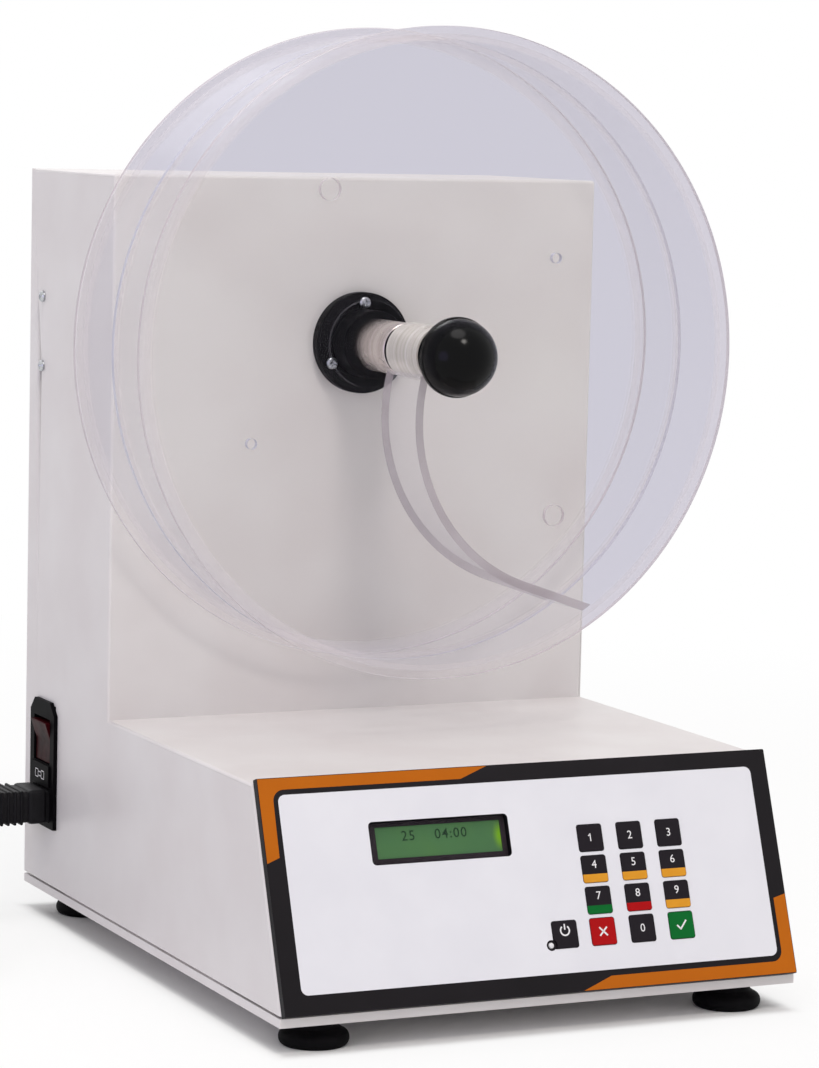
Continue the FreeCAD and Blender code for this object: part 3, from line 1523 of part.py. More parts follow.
def biarc(start, start_heading, end, end_heading):
    """Two arcs that leave and arrive along given headings and share a tangent between."""
    chord = end - start
    both = start_heading + end_heading
    quad = 2 * (1 - start_heading.dot(end_heading))
    linear = 2 * chord.dot(both)
    square = chord.dot(chord)
    if abs(quad) < 1e-9:
        reach = square / (2 * linear / 2)
    else:
        reach = (-linear + math.sqrt(linear ** 2 + 4 * quad * square)) / (2 * quad)
    joint = (start + start_heading * reach + end - end_heading * reach) * 0.5

    def arc_to(origin, heading, goal):
        across = goal - origin
        normal = (across - heading * across.dot(heading)).normalize()
        radius = across.dot(across) / (2 * across.dot(normal))
        center = origin + normal * radius
        middle = center + ((origin - center) + (goal - center)).normalize() * radius
        return Part.Arc(origin, middle, goal).toShape()

    first = arc_to(start, start_heading, joint)
    second_start = arc_to(end, end_heading * -1, joint)
    middle = second_start.valueAt((second_start.FirstParameter + second_start.LastParameter) / 2)
    return [first, Part.Arc(joint, middle, end).toShape()]


def make_coil():
    """Two layers of turns, wound in below and out above, climbing where the spiral reverses."""
    total = 2 * size.coil_turns.number + 0.5
    quarters = int(round(total * 4))
    stops = [total * index / quarters for index in range(quarters + 1)]
    lead = size.coil_lead.number
    outer_start = coil_point(0)
    outer_end = coil_point(total)
    toward_front = Vector(0, -1, 0)
    toward_back = Vector(0, 1, 0)
    edges = [Part.LineSegment(outer_start - toward_front * lead, outer_start).toShape()]
    headings = [toward_front] + [coil_heading(stop) for stop in stops[1:-1]] + [toward_back]
    for index in range(quarters):
        edges += biarc(coil_point(stops[index]), headings[index],
                       coil_point(stops[index + 1]), headings[index + 1])
    edges.append(Part.LineSegment(outer_end, outer_end + toward_back * lead).toShape())
    wire = Part.Wire(edges)
    print_least_gap(wire)
    name_node("mains_coil", sweep_cord("mains_coil", wire))
    return outer_end + toward_back * lead


def print_least_gap(wire):
    """The smallest clear distance between one turn of the coil and the others."""
    step = 3.0
    points = wire.discretize(Distance=step)
    apart = int(4 * size.cord_radius.number * 2 / step)
    least = min(
        (points[one] - points[two]).Length
        for one in range(len(points)) for two in range(one + apart, len(points)))
    print("coil: least gap to itself %.2f mm" % (least - 2 * size.cord_radius.number))


def make_plug(start):
    """A round plug lying beside the coil, its relief slim where it passes the turns."""
    x, y, z = start
    relief_end = y + size.plug_relief_length.number
    body_end = relief_end + size.plug_length.number
    relief = rod("plug_relief", "Y", size.plug_tip_radius,
                 (y, y + size.plug_relief_length), (x, z), size.relief_radius)
    shoulder_end = relief_end + size.plug_shoulder
    shoulder = rod("plug_shoulder", "Y", size.relief_radius, (relief_end, shoulder_end),
                   (x, z), size.plug_radius)
    body = rod("plug_body", "Y", size.plug_radius, (shoulder_end, body_end), (x, z))
    pins = [
        rod("plug_pin", "Y", size.plug_pin_radius,
            (body_end - size.plug_pin_root, body_end + size.plug_pin_length),
            (x + size.plug_pin_ring * cosine(angle), z + size.plug_pin_ring * sine(angle)))
        for angle in (90, 210, 330)]
    name_node("mains_plug", fuse("mains_plug", [relief, shoulder, body] + pins))


make_housing_shell()
make_rear_cover()
make_base_tray()
make_feet()
make_screws()
make_panel()
make_display()
make_keypad()
make_keys()
make_inlet()
make_rocker()
make_fuse_drawer()
make_bearing_housing()
make_bearings()
make_shaft()
make_gears()
make_bracket()
make_encoder()
make_drum()
make_arm()
make_knob()
make_power_board()
make_connector()
name_node("mains_cord", sweep_cord("mains_cord", rounded_path(CORD_ROUTE)))
make_plug(make_coil())
doc.recompute()

for item in doc.Objects:
    if "Invalid" in item.State or "Error" in item.State:
        raise RuntimeError("%s failed: %s" % (item.Label, item.State))
for node, piece in NODES.items():
    if piece.Shape.isNull() or not piece.Shape.isValid():
        raise RuntimeError("%s has no valid shape" % node)

os.makedirs("parts", exist_ok=True)
for node, piece in NODES.items():
    piece.Shape.exportStep("parts/%s.step" % node)
print("%d nodes, %d solids" % (
    len(NODES), sum(len(piece.Shape.Solids) for piece in NODES.values())))
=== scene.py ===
"""Friability tester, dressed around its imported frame.

Row frame: metres, X to the right, Y to the back, Z up. Pieces are drawn in millimetres and brought
to metres as they are settled. Panel pieces are drawn flat, X right and Y up the slope, Z out of it.
"""
import math

import bpy
from mathutils import Matrix, Vector


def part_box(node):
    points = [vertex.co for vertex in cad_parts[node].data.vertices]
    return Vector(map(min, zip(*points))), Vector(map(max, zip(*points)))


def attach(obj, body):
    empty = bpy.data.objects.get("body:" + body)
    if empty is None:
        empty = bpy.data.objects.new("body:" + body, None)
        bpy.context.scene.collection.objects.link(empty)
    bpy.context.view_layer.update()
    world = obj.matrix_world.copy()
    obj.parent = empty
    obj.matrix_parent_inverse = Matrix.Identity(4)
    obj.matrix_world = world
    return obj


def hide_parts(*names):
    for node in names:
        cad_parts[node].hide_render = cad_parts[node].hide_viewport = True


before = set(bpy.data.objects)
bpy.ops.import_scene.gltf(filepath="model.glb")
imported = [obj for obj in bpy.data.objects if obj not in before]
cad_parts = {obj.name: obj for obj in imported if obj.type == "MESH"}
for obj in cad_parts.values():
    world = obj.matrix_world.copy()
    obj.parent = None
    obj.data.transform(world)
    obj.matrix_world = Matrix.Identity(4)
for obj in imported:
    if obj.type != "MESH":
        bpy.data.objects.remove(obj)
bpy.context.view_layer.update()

MM = 0.001
ROW = Matrix.Scale(MM, 4)
# the smallest ring that a turned piece starts or ends in; it is merged to a point
POLE = 0.01
# a face of a folded sheet that is larger than this, in square millimetres, is a flat field
FLAT_FIELD = 60.0


def span(node):
    """The lowest and highest corner of a frame node, in millimetres."""
    low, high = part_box(node)
    return Vector(low) / MM, Vector(high) / MM


# Camera: the photograph's own place, direction and lens
CAMERA_PLACE = (-745.1, -1591.1, 398.9)
CAMERA_YAW = 25.263
CAMERA_PITCH = 6.370
CAMERA_ROLL = 1.302
CAMERA_LENS = 126.18
SENSOR = 36.0


def set_camera():
    yaw, pitch, roll = (math.radians(turn) for turn in (CAMERA_YAW, CAMERA_PITCH, CAMERA_ROLL))
    forward = Vector((
        math.sin(yaw) * math.cos(pitch), math.cos(yaw) * math.cos(pitch), -math.sin(pitch)))
    right = Vector((math.cos(yaw), -math.sin(yaw), 0))
    up = right.cross(forward)
    across = right * math.cos(roll) + up * math.sin(roll)
    upward = up * math.cos(roll) - right * math.sin(roll)
    data = bpy.data.cameras.new("photo_camera")
    data.sensor_fit = "VERTICAL"
    data.sensor_height = SENSOR
    data.lens = CAMERA_LENS
    camera = bpy.data.objects.new("photo_camera", data)
    bpy.context.scene.collection.objects.link(camera)
    turn = Matrix((across, upward, -forward)).transposed().to_4x4()
    camera.matrix_world = Matrix.Translation(Vector(CAMERA_PLACE) * MM) @ turn
    bpy.context.scene.camera = camera


set_camera()


# Modelling: each helper leaves the piece in object mode, selected alone
def deselect():
    bpy.ops.object.select_all(action="DESELECT")


def take(piece):
    deselect()
    piece.select_set(True)
    bpy.context.view_layer.objects.active = piece


def edit_all(piece):
    take(piece)
    bpy.ops.object.mode_set(mode="EDIT")
    bpy.ops.mesh.select_all(action="SELECT")


def leave_edit():
    bpy.ops.object.mode_set(mode="OBJECT")


def name_piece(name):
    """Name the piece that was just added, with its place in its mesh."""
    piece = bpy.context.object
    piece.name = name
    piece.data.name = name
    bpy.ops.object.transform_apply(location=True, rotation=True, scale=True)
    return piece


def shape_with(piece, kind, **settings):
    """Add a modifier with its settings and apply it."""
    take(piece)
    modifier = piece.modifiers.new(kind.lower(), kind)
    for word, value in settings.items():
        setattr(modifier, word, value)
    bpy.ops.object.modifier_apply(modifier=modifier.name)


def smooth(piece, angle=35):
    take(piece)
    bpy.ops.object.shade_smooth_by_angle(angle=math.radians(angle))


def ease(piece, width, segments=3, angle=30):
    """Round every edge that is sharper than the angle."""
    shape_with(
        piece, "BEVEL", width=width, segments=segments, limit_method="ANGLE",
        angle_limit=math.radians(angle), use_clamp_overlap=True)
    smooth(piece)
    shape_with(piece, "WEIGHTED_NORMAL", keep_sharp=True)


def choose_edges(piece, test):
    """Go into edit mode with only those edges selected whose two ends pass the test."""
    take(piece)
    bpy.context.tool_settings.mesh_select_mode = (False, True, False)
    mesh = piece.data
    for item in list(mesh.vertices) + list(mesh.polygons):
        item.select = False
    for edge in mesh.edges:
        first, second = (mesh.vertices[index].co for index in edge.vertices)
        edge.select = test(first, second)
    bpy.ops.object.mode_set(mode="EDIT")


def upright(first, second):
    return abs(first.x - second.x) < 1e-4 and abs(first.y - second.y) < 1e-4


def round_off(piece, radius, where, steps=6):
    """Round those upright edges of a flat piece whose place passes a test."""
    choose_edges(piece, lambda first, second: upright(first, second) and where(first))
    bpy.ops.mesh.bevel(offset=radius, segments=steps)
    leave_edit()


def plate(name, corners, low, high, round_corners=0.0, edge=0.0, corner_steps=6):
    """A flat piece: an outline of corners between two heights, with rounded corners and edges."""
    deselect()
    bpy.ops.mesh.primitive_circle_add(vertices=len(corners), radius=1, fill_type="NGON")
    piece = name_piece(name)
    for vertex, (across, up) in zip(piece.data.vertices, corners):
        vertex.co = (across, up, low)
    edit_all(piece)
    bpy.ops.mesh.extrude_region_move(TRANSFORM_OT_translate={"value": (0, 0, high - low)})
    bpy.ops.mesh.select_all(action="SELECT")
    bpy.ops.mesh.normals_make_consistent(inside=False)
    leave_edit()
    if round_corners:
        round_off(piece, round_corners, lambda corner: True, corner_steps)
    if edge:
        ease(piece, edge)
    else:
        smooth(piece)
    return piece


def rectangle(center, width, height):
    across, up = center
    left, right = across - width / 2, across + width / 2
    low, high = up - height / 2, up + height / 2
    return [(left, low), (right, low), (right, high), (left, high)]


def block(name, low, high, edge=0.4, segments=3):
    """A box between two corners with rounded edges."""
    low, high = Vector(low), Vector(high)
    deselect()
    bpy.ops.mesh.primitive_cube_add(size=1, location=(low + high) / 2, scale=high - low)
    piece = name_piece(name)
    ease(piece, edge, segments)
    return piece


TURNS = {
    "Z": Matrix.Identity(4),
    "Y": Matrix.Rotation(math.radians(-90), 4, "X"),
    "X": Matrix.Rotation(math.radians(90), 4, "Y"),
}


def turned(name, outline, center=(0, 0, 0), along="Y", steps=96, edge=0.0, segments=3):
    """A turned piece: one ring of points, extruded from station to station of (radius, place)."""
    deselect()
    radius, station = outline[0]
    bpy.ops.mesh.primitive_circle_add(
        vertices=steps, radius=max(radius, POLE), location=(0, 0, station))
    piece = name_piece(name)
    edit_all(piece)
    last_radius = max(radius, POLE)
    for radius, next_station in outline[1:]:
        radius = max(radius, POLE)
        bpy.ops.mesh.extrude_edges_move(
            TRANSFORM_OT_translate={"value": (0, 0, next_station - station)})
        share = radius / last_radius
        bpy.ops.transform.resize(value=(share, share, 1), center_override=(0, 0, next_station))
        last_radius, station = radius, next_station
    bpy.ops.mesh.select_all(action="SELECT")
    bpy.ops.mesh.remove_doubles(threshold=POLE / 4)
    bpy.ops.mesh.normals_make_consistent(inside=False)
    leave_edit()
    if edge:
        ease(piece, edge, segments)
    else:
        smooth(piece)
    piece.data.transform(Matrix.Translation(Vector(center)) @ TURNS[along])
    return piece


def closed(outline):
    return outline + outline[:1]


def ring_outline(outer, bore, low, high):
    return closed([(bore, low), (outer, low), (outer, high), (bore, high)])


def joined(name, pieces):
    deselect()
    for piece in pieces:
        piece.select_set(True)
    bpy.context.view_layer.objects.active = pieces[0]
    if len(pieces) > 1:
        bpy.ops.object.join()
    pieces[0].name = name
    pieces[0].data.name = name
    return pieces[0]


def cut_out(piece, tool):
    """Take a closed tool out of a piece and throw the tool away."""
    shape_with(piece, "BOOLEAN", operation="DIFFERENCE", solver="EXACT", object=tool)
    bpy.data.objects.remove(tool)


def copy_of(piece, name, move=None):
    twin = piece.copy()
    twin.data = piece.data.copy()
    twin.name = name
    twin.data.name = name
    bpy.context.scene.collection.objects.link(twin)
    if move is not None:
        twin.data.transform(move)
    return twin


def eased_copy(node, name, edge=0.0, segments=2):
    """A copy of a frame node, in millimetres, merged, with clean flat faces and soft edges."""
    piece = copy_of(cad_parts[node], name, Matrix.Scale(1 / MM, 4))
    piece.parent = None
    for key in list(piece.keys()):
        del piece[key]
    edit_all(piece)
    bpy.ops.mesh.remove_doubles(threshold=0.001)
    bpy.ops.mesh.dissolve_limited(angle_limit=math.radians(0.5))
    leave_edit()
    if edge:
        ease(piece, edge, segments)
    else:
        smooth(piece)
        for face in piece.data.polygons:
            face.use_smooth = face.use_smooth and face.area < FLAT_FIELD
    return piece


def settle(piece, finish, body, slot, stands_for=(), frame_matrix=ROW):
    """Bring a finished piece to metres in its place, give it its finish, hang it on the body it moves with,
    and hide the nodes it stands for.
    """
    piece.data.transform(frame_matrix)
    if finish is not None:
        piece.data.materials.clear()
        piece.data.materials.append(finish)
    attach(piece, body)
    if stands_for:
        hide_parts(*stands_for)
    return piece


# Materials
def linear(code):
    """An sRGB hex colour as the linear values that a shader takes."""
    channels = [int(code[start:start + 2], 16) / 255 for start in (1, 3, 5)]
    return tuple(
        value / 12.92 if value <= 0.04045 else ((value + 0.055) / 1.055) ** 2.4
        for value in channels) + (1.0,)


def per(size):
    """The scale of a pattern on Object coordinates whose features are so many millimetres."""
    return 1 / (size * MM)


def add_node(material, kind, inputs=None, **settings):
    """One node with its settings, and its inputs given as values or as sockets to link."""
    tree = material.node_tree
    node = tree.nodes.new(kind)
    for word, value in settings.items():
        setattr(node, word, value)
    for socket, value in (inputs or {}).items():
        if isinstance(value, bpy.types.NodeSocket):
            tree.links.new(value, node.inputs[socket])
        else:
            node.inputs[socket].default_value = value
    return node


class Finish:
    """A material with one Principled shader and Object coordinates, ready for its patterns."""

    def __init__(self, name, colour, roughness, metallic=0.0, **plain):
        self.material = bpy.data.materials.new(name)
        self.material.use_nodes = True
        self.tree = self.material.node_tree
        self.shader = self.tree.nodes["Principled BSDF"]
        self.place = add_node(self.material, "ShaderNodeTexCoord").outputs["Object"]
        self.colour = colour
        self.roughness = roughness
        self.set("Base Color", linear(colour))
        self.set("Roughness", roughness)
        self.set("Metallic", metallic)
        for word, value in plain.items():
            self.set(word.replace("_", " ").title().replace("Ior", "IOR"), value)

    def set(self, socket, value):
        if isinstance(value, bpy.types.NodeSocket):
            self.tree.links.new(value, self.shader.inputs[socket])
        else:
            self.shader.inputs[socket].default_value = value

    def noise(self, size, detail=2.0, place=None, **settings):
        return add_node(self.material, "ShaderNodeTexNoise", {
            "Vector": place or self.place, "Scale": per(size), "Detail": detail}, **settings)

    def mottled(self, size, other, share=0.5, detail=3.0, place=None):
        """Drift from the main colour towards another over patches of a size."""
        noise = self.noise(size, detail, place)
        spread = add_node(self.material, "ShaderNodeMapRange", {
            "Value": noise.outputs["Fac"], "From Min": 0.35, "From Max": 0.65,
            "To Min": 0.0, "To Max": share})
        mix = add_node(self.material, "ShaderNodeMix", {
            "Factor": spread.outputs["Result"], 6: linear(self.colour), 7: linear(other)},
            data_type="RGBA")
        self.set("Base Color", mix.outputs[2])
        return self

    def uneven_gloss(self, size, spread, place=None):
        """Let the roughness wander either way over patches of a size."""
        noise = self.noise(size, 3.0, place)
        wander = add_node(self.material, "ShaderNodeMapRange", {
            "Value": noise.outputs["Fac"], "From Min": 0.3, "From Max": 0.7,
            "To Min": self.roughness - spread, "To Max": self.roughness + spread})
        self.set("Roughness", wander.outputs["Result"])
        return self

    def grained(self, size, depth, strength=0.5, detail=2.0, place=None):
        """A fine relief of a size and a depth in millimetres."""
        noise = self.noise(size, detail, place)
        bump = add_node(self.material, "ShaderNodeBump", {
            "Height": noise.outputs["Fac"], "Distance": depth * MM, "Strength": strength})
        self.set("Normal", bump.outputs["Normal"])
        return self

    def rings_about(self, center):
        """A coordinate that changes along and away from the Y axis through a center, for tool marks."""
        moved = add_node(self.material, "ShaderNodeVectorMath", {
            0: self.place, 1: Vector(center) * MM}, operation="SUBTRACT")
        parts = add_node(self.material, "ShaderNodeSeparateXYZ", {0: moved.outputs["Vector"]})
        flat = add_node(self.material, "ShaderNodeCombineXYZ", {
            "X": parts.outputs["X"], "Z": parts.outputs["Z"]})
        away = add_node(self.material, "ShaderNodeVectorMath", {
            0: flat.outputs["Vector"]}, operation="LENGTH")
        both = add_node(self.material, "ShaderNodeMath", {
            0: away.outputs["Value"], 1: parts.outputs["Y"]}, operation="ADD")
        return add_node(self.material, "ShaderNodeCombineXYZ", {
            "X": both.outputs["Value"]}).outputs["Vector"]


lid_low, lid_high = span("drum_lid")
AXIS_HEIGHT = (lid_low.z + lid_high.z) / 2
SHAFT_LINE = (0, 0, AXIS_HEIGHT)


def powder_coat():
    """Powder-coated sheet steel: a pale warm grey with a fine even texture and faint drifts of tone."""
    finish = Finish("powder_coated_steel", "#DEDADA", 0.42, specular_ior_level=0.35)
    finish.mottled(60, "#D6D0D0", 0.7).uneven_gloss(25, 0.06).grained(0.9, 0.02, 0.35)
    return finish.material


def black_coated_aluminium():
    """Black-coated plate: satin, with small patches a little lighter in tone."""
    finish = Finish("black_coated_aluminium", "#131115", 0.45, specular_ior_level=0.12)
    finish.mottled(4, "#1C1A1E", 0.5).grained(0.6, 0.01, 0.3)
    return finish.material


def polyester_film(name, colour, drift):
    """Printed polyester film: a satin skin with a faint pebble and an even ink behind it."""
    finish = Finish(name, colour, 0.4, specular_ior_level=0.12)
    finish.mottled(30, drift, 0.5).uneven_gloss(8, 0.05).grained(0.5, 0.006, 0.25)
    return finish.material


def moulded_rubber():
    """Moulded rubber: deep black, dull, with a fine mould texture and a little dust."""
    finish = Finish("moulded_rubber", "#09080A", 0.65, specular_ior_level=0.06)
    finish.mottled(3, "#0F0E10", 0.6).grained(0.5, 0.03, 0.5)
    return finish.material


def bright_zinc():
    """Zinc-plated screw steel: bright and cool, with small uneven reflections."""
    finish = Finish("bright_zinc_plate", "#C9CBCD", 0.28, 1.0)
    finish.mottled(1.5, "#9EA2A6", 0.6).uneven_gloss(1.0, 0.08)
    return finish.material


def ground_steel():
    """Ground steel bar: fine marks around the bar and a cool grey shine."""
    finish = Finish("ground_steel", "#A9A8A6", 0.3, 1.0)
    rings = finish.rings_about(SHAFT_LINE)
    finish.mottled(0.4, "#86868A", 0.5, place=rings).grained(0.3, 0.01, 0.3, place=rings)
    return finish.material


def satin_nickel():
    """Turned hub, satin nickel plate: warm silver, tool marks round it and soft wear patches."""
    finish = Finish("satin_nickel_hub", "#EDE4DF", 0.25, 1.0)
    rings = finish.rings_about(SHAFT_LINE)
    finish.mottled(7, "#C6BBB8", 0.7, place=rings).uneven_gloss(9, 0.04)
    return finish.material


def black_enamel():
    """Turned flange in black enamel: satin, with its turning rings showing faintly through."""
    finish = Finish("black_enamel_flange", "#060609", 0.5, specular_ior_level=0.05)
    rings = finish.rings_about(SHAFT_LINE)
    finish.mottled(1.6, "#101014", 0.7, place=rings).uneven_gloss(5, 0.08)
    finish.grained(0.9, 0.01, 0.15, place=rings)
    return finish.material


def phenolic():
    """Moulded phenolic knob: jet black and polished, with the faintest ripple in its gloss."""
    finish = Finish("polished_phenolic", "#020203", 0.17, specular_ior_level=0.12)
    finish.uneven_gloss(5, 0.03).grained(3, 0.01, 0.12)
    return finish.material


def moulded_abs():
    """Black moulded thermoplastic: fine spark texture, softly shining edges."""
    finish = Finish("black_moulded_abs", "#09080A", 0.45, specular_ior_level=0.02)
    finish.mottled(5, "#0F0E11", 0.6).grained(0.35, 0.012, 0.35)
    return finish.material


def moulded_bezel():
    """Display bezel: matt moulded frame, a brownish black that greys where light falls on it."""
    finish = Finish("matt_moulded_bezel", "#362D34", 0.6, specular_ior_level=0.1)
    finish.mottled(4, "#3A3138", 0.6).grained(0.5, 0.01, 0.3)
    return finish.material


def red_polycarbonate():
    """Rocker in dark red polycarbonate: glossy, darker towards near black in broad random patches."""
    finish = Finish("red_polycarbonate", "#3A070D", 0.35, specular_ior_level=0.03)
    finish.mottled(12, "#1C0406", 0.9).uneven_gloss(4, 0.05)
    return finish.material


def cable_pvc():
    """Extruded cable jacket: dull black with a slight drawn grain."""
    finish = Finish("extruded_pvc_jacket", "#0F0E11", 0.52, specular_ior_level=0.15)
    finish.mottled(6, "#19181B", 0.6).grained(0.8, 0.02, 0.35)
    return finish.material


def woven_strap():
    """Hook-and-loop strap: matt fuzzy black with a fine weave."""
    finish = Finish("hook_and_loop_strap", "#1B1B1E", 0.9)
    finish.mottled(0.8, "#333238", 0.8).grained(0.7, 0.12, 0.8)
    return finish.material


def key_ink(name, colour, drift):
    """Ink under the film of a key: even and strong, with the film's satin skin above it."""
    finish = Finish(name, colour, 0.38, specular_ior_level=0.12)
    finish.mottled(6, drift, 0.4).grained(0.5, 0.006, 0.25)
    return finish.material


def display_green():
    """Backlit display: olive green, with a painted glow: the base colour turns lime in the spot near its
    right end where the lamp leaks in.
    """
    finish = Finish("backlit_display", "#527257", 0.4, specular_ior_level=0.05)
    spot = add_node(finish.material, "ShaderNodeMapping", {
        "Vector": finish.place, "Location": PANEL @ Vector(PAINTED_GLOW_CENTER),
        "Scale": Vector(PAINTED_GLOW_REACH) * MM}, vector_type="TEXTURE")
    away = add_node(finish.material, "ShaderNodeVectorMath", {
        0: spot.outputs["Vector"]}, operation="LENGTH")
    glow = add_node(finish.material, "ShaderNodeMapRange", {
        "Value": away.outputs["Value"], "From Min": 1.0, "From Max": 0.1},
        interpolation_type="SMOOTHSTEP")
    noise = finish.noise(25, 2.0)
    tone = add_node(finish.material, "ShaderNodeMix", {
        "Factor": noise.outputs["Fac"], 6: linear("#517F5C"), 7: linear("#5F8C52")},
        data_type="RGBA")
    # painted glow: lime mixed into the base colour around the spot where the backlight leaks in
    mix = add_node(finish.material, "ShaderNodeMix", {
        "Factor": glow.outputs["Result"], 6: tone.outputs[2], 7: linear("#86C22C")},
        data_type="RGBA")
    finish.set("Base Color", mix.outputs[2])
    return finish.material


def display_pane():
    """Clear pane over the display: thin polished plastic that mirrors a little."""
    finish = Finish("display_pane", "#20261F", 0.08, alpha=0.08, specular_ior_level=0.4)
    finish.uneven_gloss(12, 0.03)
    return finish.material


def lamp_lens():
    """Frosted lamp lens, unlit: milky white."""
    finish = Finish("frosted_lamp_lens", "#E9E8EA", 0.35)
    finish.mottled(1.0, "#D6D5DA", 0.5)
    return finish.material


def board_laminate():
    """Printed circuit board: green solder mask with copper runs faintly raised."""
    finish = Finish("solder_mask_board", "#14502B", 0.4)
    finish.mottled(2.5, "#0F3E22", 0.8).grained(1.2, 0.03, 0.4)
    return finish.material


def zinc_sheet():
    """Zinc-plated sheet steel: cool grey with broad soft spangle."""
    finish = Finish("zinc_plated_sheet", "#A7ABAE", 0.36, 1.0)
    finish.mottled(7, "#8B9094", 0.7).uneven_gloss(4, 0.08)
    return finish.material


def winding_tape():
    """Transformer: yellow tape over its winding, matt, with darker wrinkles."""
    finish = Finish("winding_tape", "#BFA43A", 0.55)
    finish.mottled(5, "#96802A", 0.7).grained(2.0, 0.1, 0.4)
    return finish.material


def glass_tube():
    """Glass fuse tube with its end caps: clear and bright."""
    finish = Finish("fuse_glass", "#DDE3E3", 0.12, alpha=0.6)
    finish.uneven_gloss(3, 0.04)
    return finish.material


def pass_light(finish, clear, share=None):
    """Let lamps and scattered light through a clear finish, and of what is seen a share shines."""
    paths = add_node(finish.material, "ShaderNodeLightPath")
    lit = add_node(finish.material, "ShaderNodeMath", {
        0: paths.outputs["Is Shadow Ray"], 1: paths.outputs["Is Diffuse Ray"]}, operation="MAXIMUM")
    seen = add_node(finish.material, "ShaderNodeMath", {0: 1.0, 1: lit.outputs["Value"]},
                    operation="SUBTRACT")
    if share is not None:
        seen = add_node(finish.material, "ShaderNodeMath", {
            0: seen.outputs["Value"], 1: share}, operation="MULTIPLY")
    mix = add_node(finish.material, "ShaderNodeMixShader", {
        0: seen.outputs["Value"], 1: clear.outputs["BSDF"], 2: finish.shader.outputs["BSDF"]})
    output = finish.tree.nodes["Material Output"]
    finish.tree.links.new(mix.outputs["Shader"], output.inputs["Surface"])


def acrylic_sheet():
    """Clear cast sheet: see-through face on, and a pale shine that grows where it is seen askew."""
    finish = Finish("cast_acrylic_sheet", "#D0CDD8", 0.2, specular_ior_level=0.15)
    finish.uneven_gloss(18, 0.02)
    facing = add_node(finish.material, "ShaderNodeLayerWeight", {"Blend": 0.5})
    askew = add_node(finish.material, "ShaderNodeMath", {
        0: facing.outputs["Facing"], 1: SHEET_FALLOFF}, operation="POWER")
    share = add_node(finish.material, "ShaderNodeMapRange", {
        "Value": askew.outputs["Value"], "To Min": SHEET_SHINE[0], "To Max": SHEET_SHINE[1]})
    clear = add_node(finish.material, "ShaderNodeBsdfTransparent", {"Color": linear("#FEFEFE")})
    pass_light(finish, clear, share.outputs["Result"])
    return finish.material


def acrylic_rod():
    """Turned acrylic rod: it bends what is behind it, a little milky where the tool has marked it."""
    finish = Finish("turned_acrylic_rod", "#F5F2EE", 0.06, transmission_weight=0.6, ior=1.49)
    rings = finish.rings_about(SHAFT_LINE)
    finish.mottled(3.4, "#CFC8BF", 0.9, place=rings).grained(1.6, 0.04, 0.3, place=rings)
    clear = add_node(finish.material, "ShaderNodeBsdfTransparent", {"Color": linear("#FBFAFC")})
    pass_light(finish, clear)
    return finish.material


def sawn_acrylic(name, colour, other, alpha):
    """Sawn or glued edge of an acrylic sheet: frosted, pale and half clear. The same finish also gives the
    near-white painted highlight lines on the discs' rounded edges, and the arm's edges darkened with painted
    shade.
    """
    finish = Finish(name, colour, 0.45, alpha=alpha, specular_ior_level=0.3)
    finish.mottled(40, other, 0.5).uneven_gloss(4, 0.08)
    return finish.material


# how much of a clear sheet's surface shines, seen square on and edge on, and how late it grows
SHEET_SHINE = (0.003, 0.5)
SHEET_FALLOFF = 4.0

# Panel frame: the plate's lower back edge, and the slope
PANEL_TILT = 20.6
PANEL_LENGTH = 103.1
PANEL_HALF = 125.8
OVERLAY_BACK = 3.5
OVERLAY_FRONT = 4.0
INK = 0.03
plate_low, plate_high = span("panel_plate")
PANEL = (
    ROW
    @ Matrix.Translation((
        0, plate_high.y - PANEL_LENGTH * math.sin(math.radians(PANEL_TILT)), plate_low.z))
    @ Matrix.Rotation(math.radians(90 - PANEL_TILT), 4, "X"))
DISPLAY = (-42.6, 71.6)
DISPLAY_OPENING = (67.5, 19.1)
DISPLAY_GLASS = (60.5, 14.0)
DISPLAY_SHIFT = (1.0, 0.5)
# center and reach of the display's painted backlight glow
PAINTED_GLOW_CENTER = (DISPLAY[0] + 31.0, DISPLAY[1] + 0.5, 0.4)
PAINTED_GLOW_REACH = (4.5, 100.0, 7.5)
WINDOW_THICK = 1.5
FIELD_CORNER = 3.2
BAND_CORNER = 5.0
KEY = (12.1, 11.9)
KEY_GAP = 0.3
KEY_TOP = 4.4
KEY_CORNER = 1.0
FIGURE_HEIGHT = 3.6
KEY_STRIP = 3.8
KEY_COLUMNS = (30.6, 50.4, 70.2)
KEY_LINES = (25.7, 39.7, 53.7, 67.7)
POWER_KEY = (11.6, 25.7)
LAMP = (4.3, 21.3)
LAMP_RADIUS = 1.5
LAMP_RING = 2.4

STEEL = powder_coat()
PLATE_BLACK = black_coated_aluminium()
FILM_WHITE = polyester_film("printed_film_white", "#E1E0E6", "#DAD9E0")
FILM_DARK = polyester_film("printed_film_dark", "#161316", "#1C181C")
FILM_ORANGE = polyester_film("printed_film_orange", "#B8620C", "#AF5B0A")
RUBBER = moulded_rubber()
ZINC = bright_zinc()
GROUND_STEEL = ground_steel()
NICKEL = satin_nickel()
ENAMEL = black_enamel()
PHENOLIC = phenolic()
ABS = moulded_abs()
ROCKER_RED = red_polycarbonate()
JACKET = cable_pvc()
STRAP = woven_strap()
KEY_BLACK = key_ink("key_ink_black", "#1A151B", "#201B21")
KEY_RED = key_ink("key_ink_red", "#A8060C", "#9C050A")
KEY_GREEN = key_ink("key_ink_green", "#006427", "#005C22")
KEY_AMBER = key_ink("key_ink_amber", "#D8952B", "#CF8A22")
INK_WHITE = key_ink("key_ink_white", "#E8E6E8", "#DEDCDF")
DISPLAY_INK = key_ink("display_ink", "#27402E", "#2C4833")
LCD_GREEN = display_green()
PANE = display_pane()
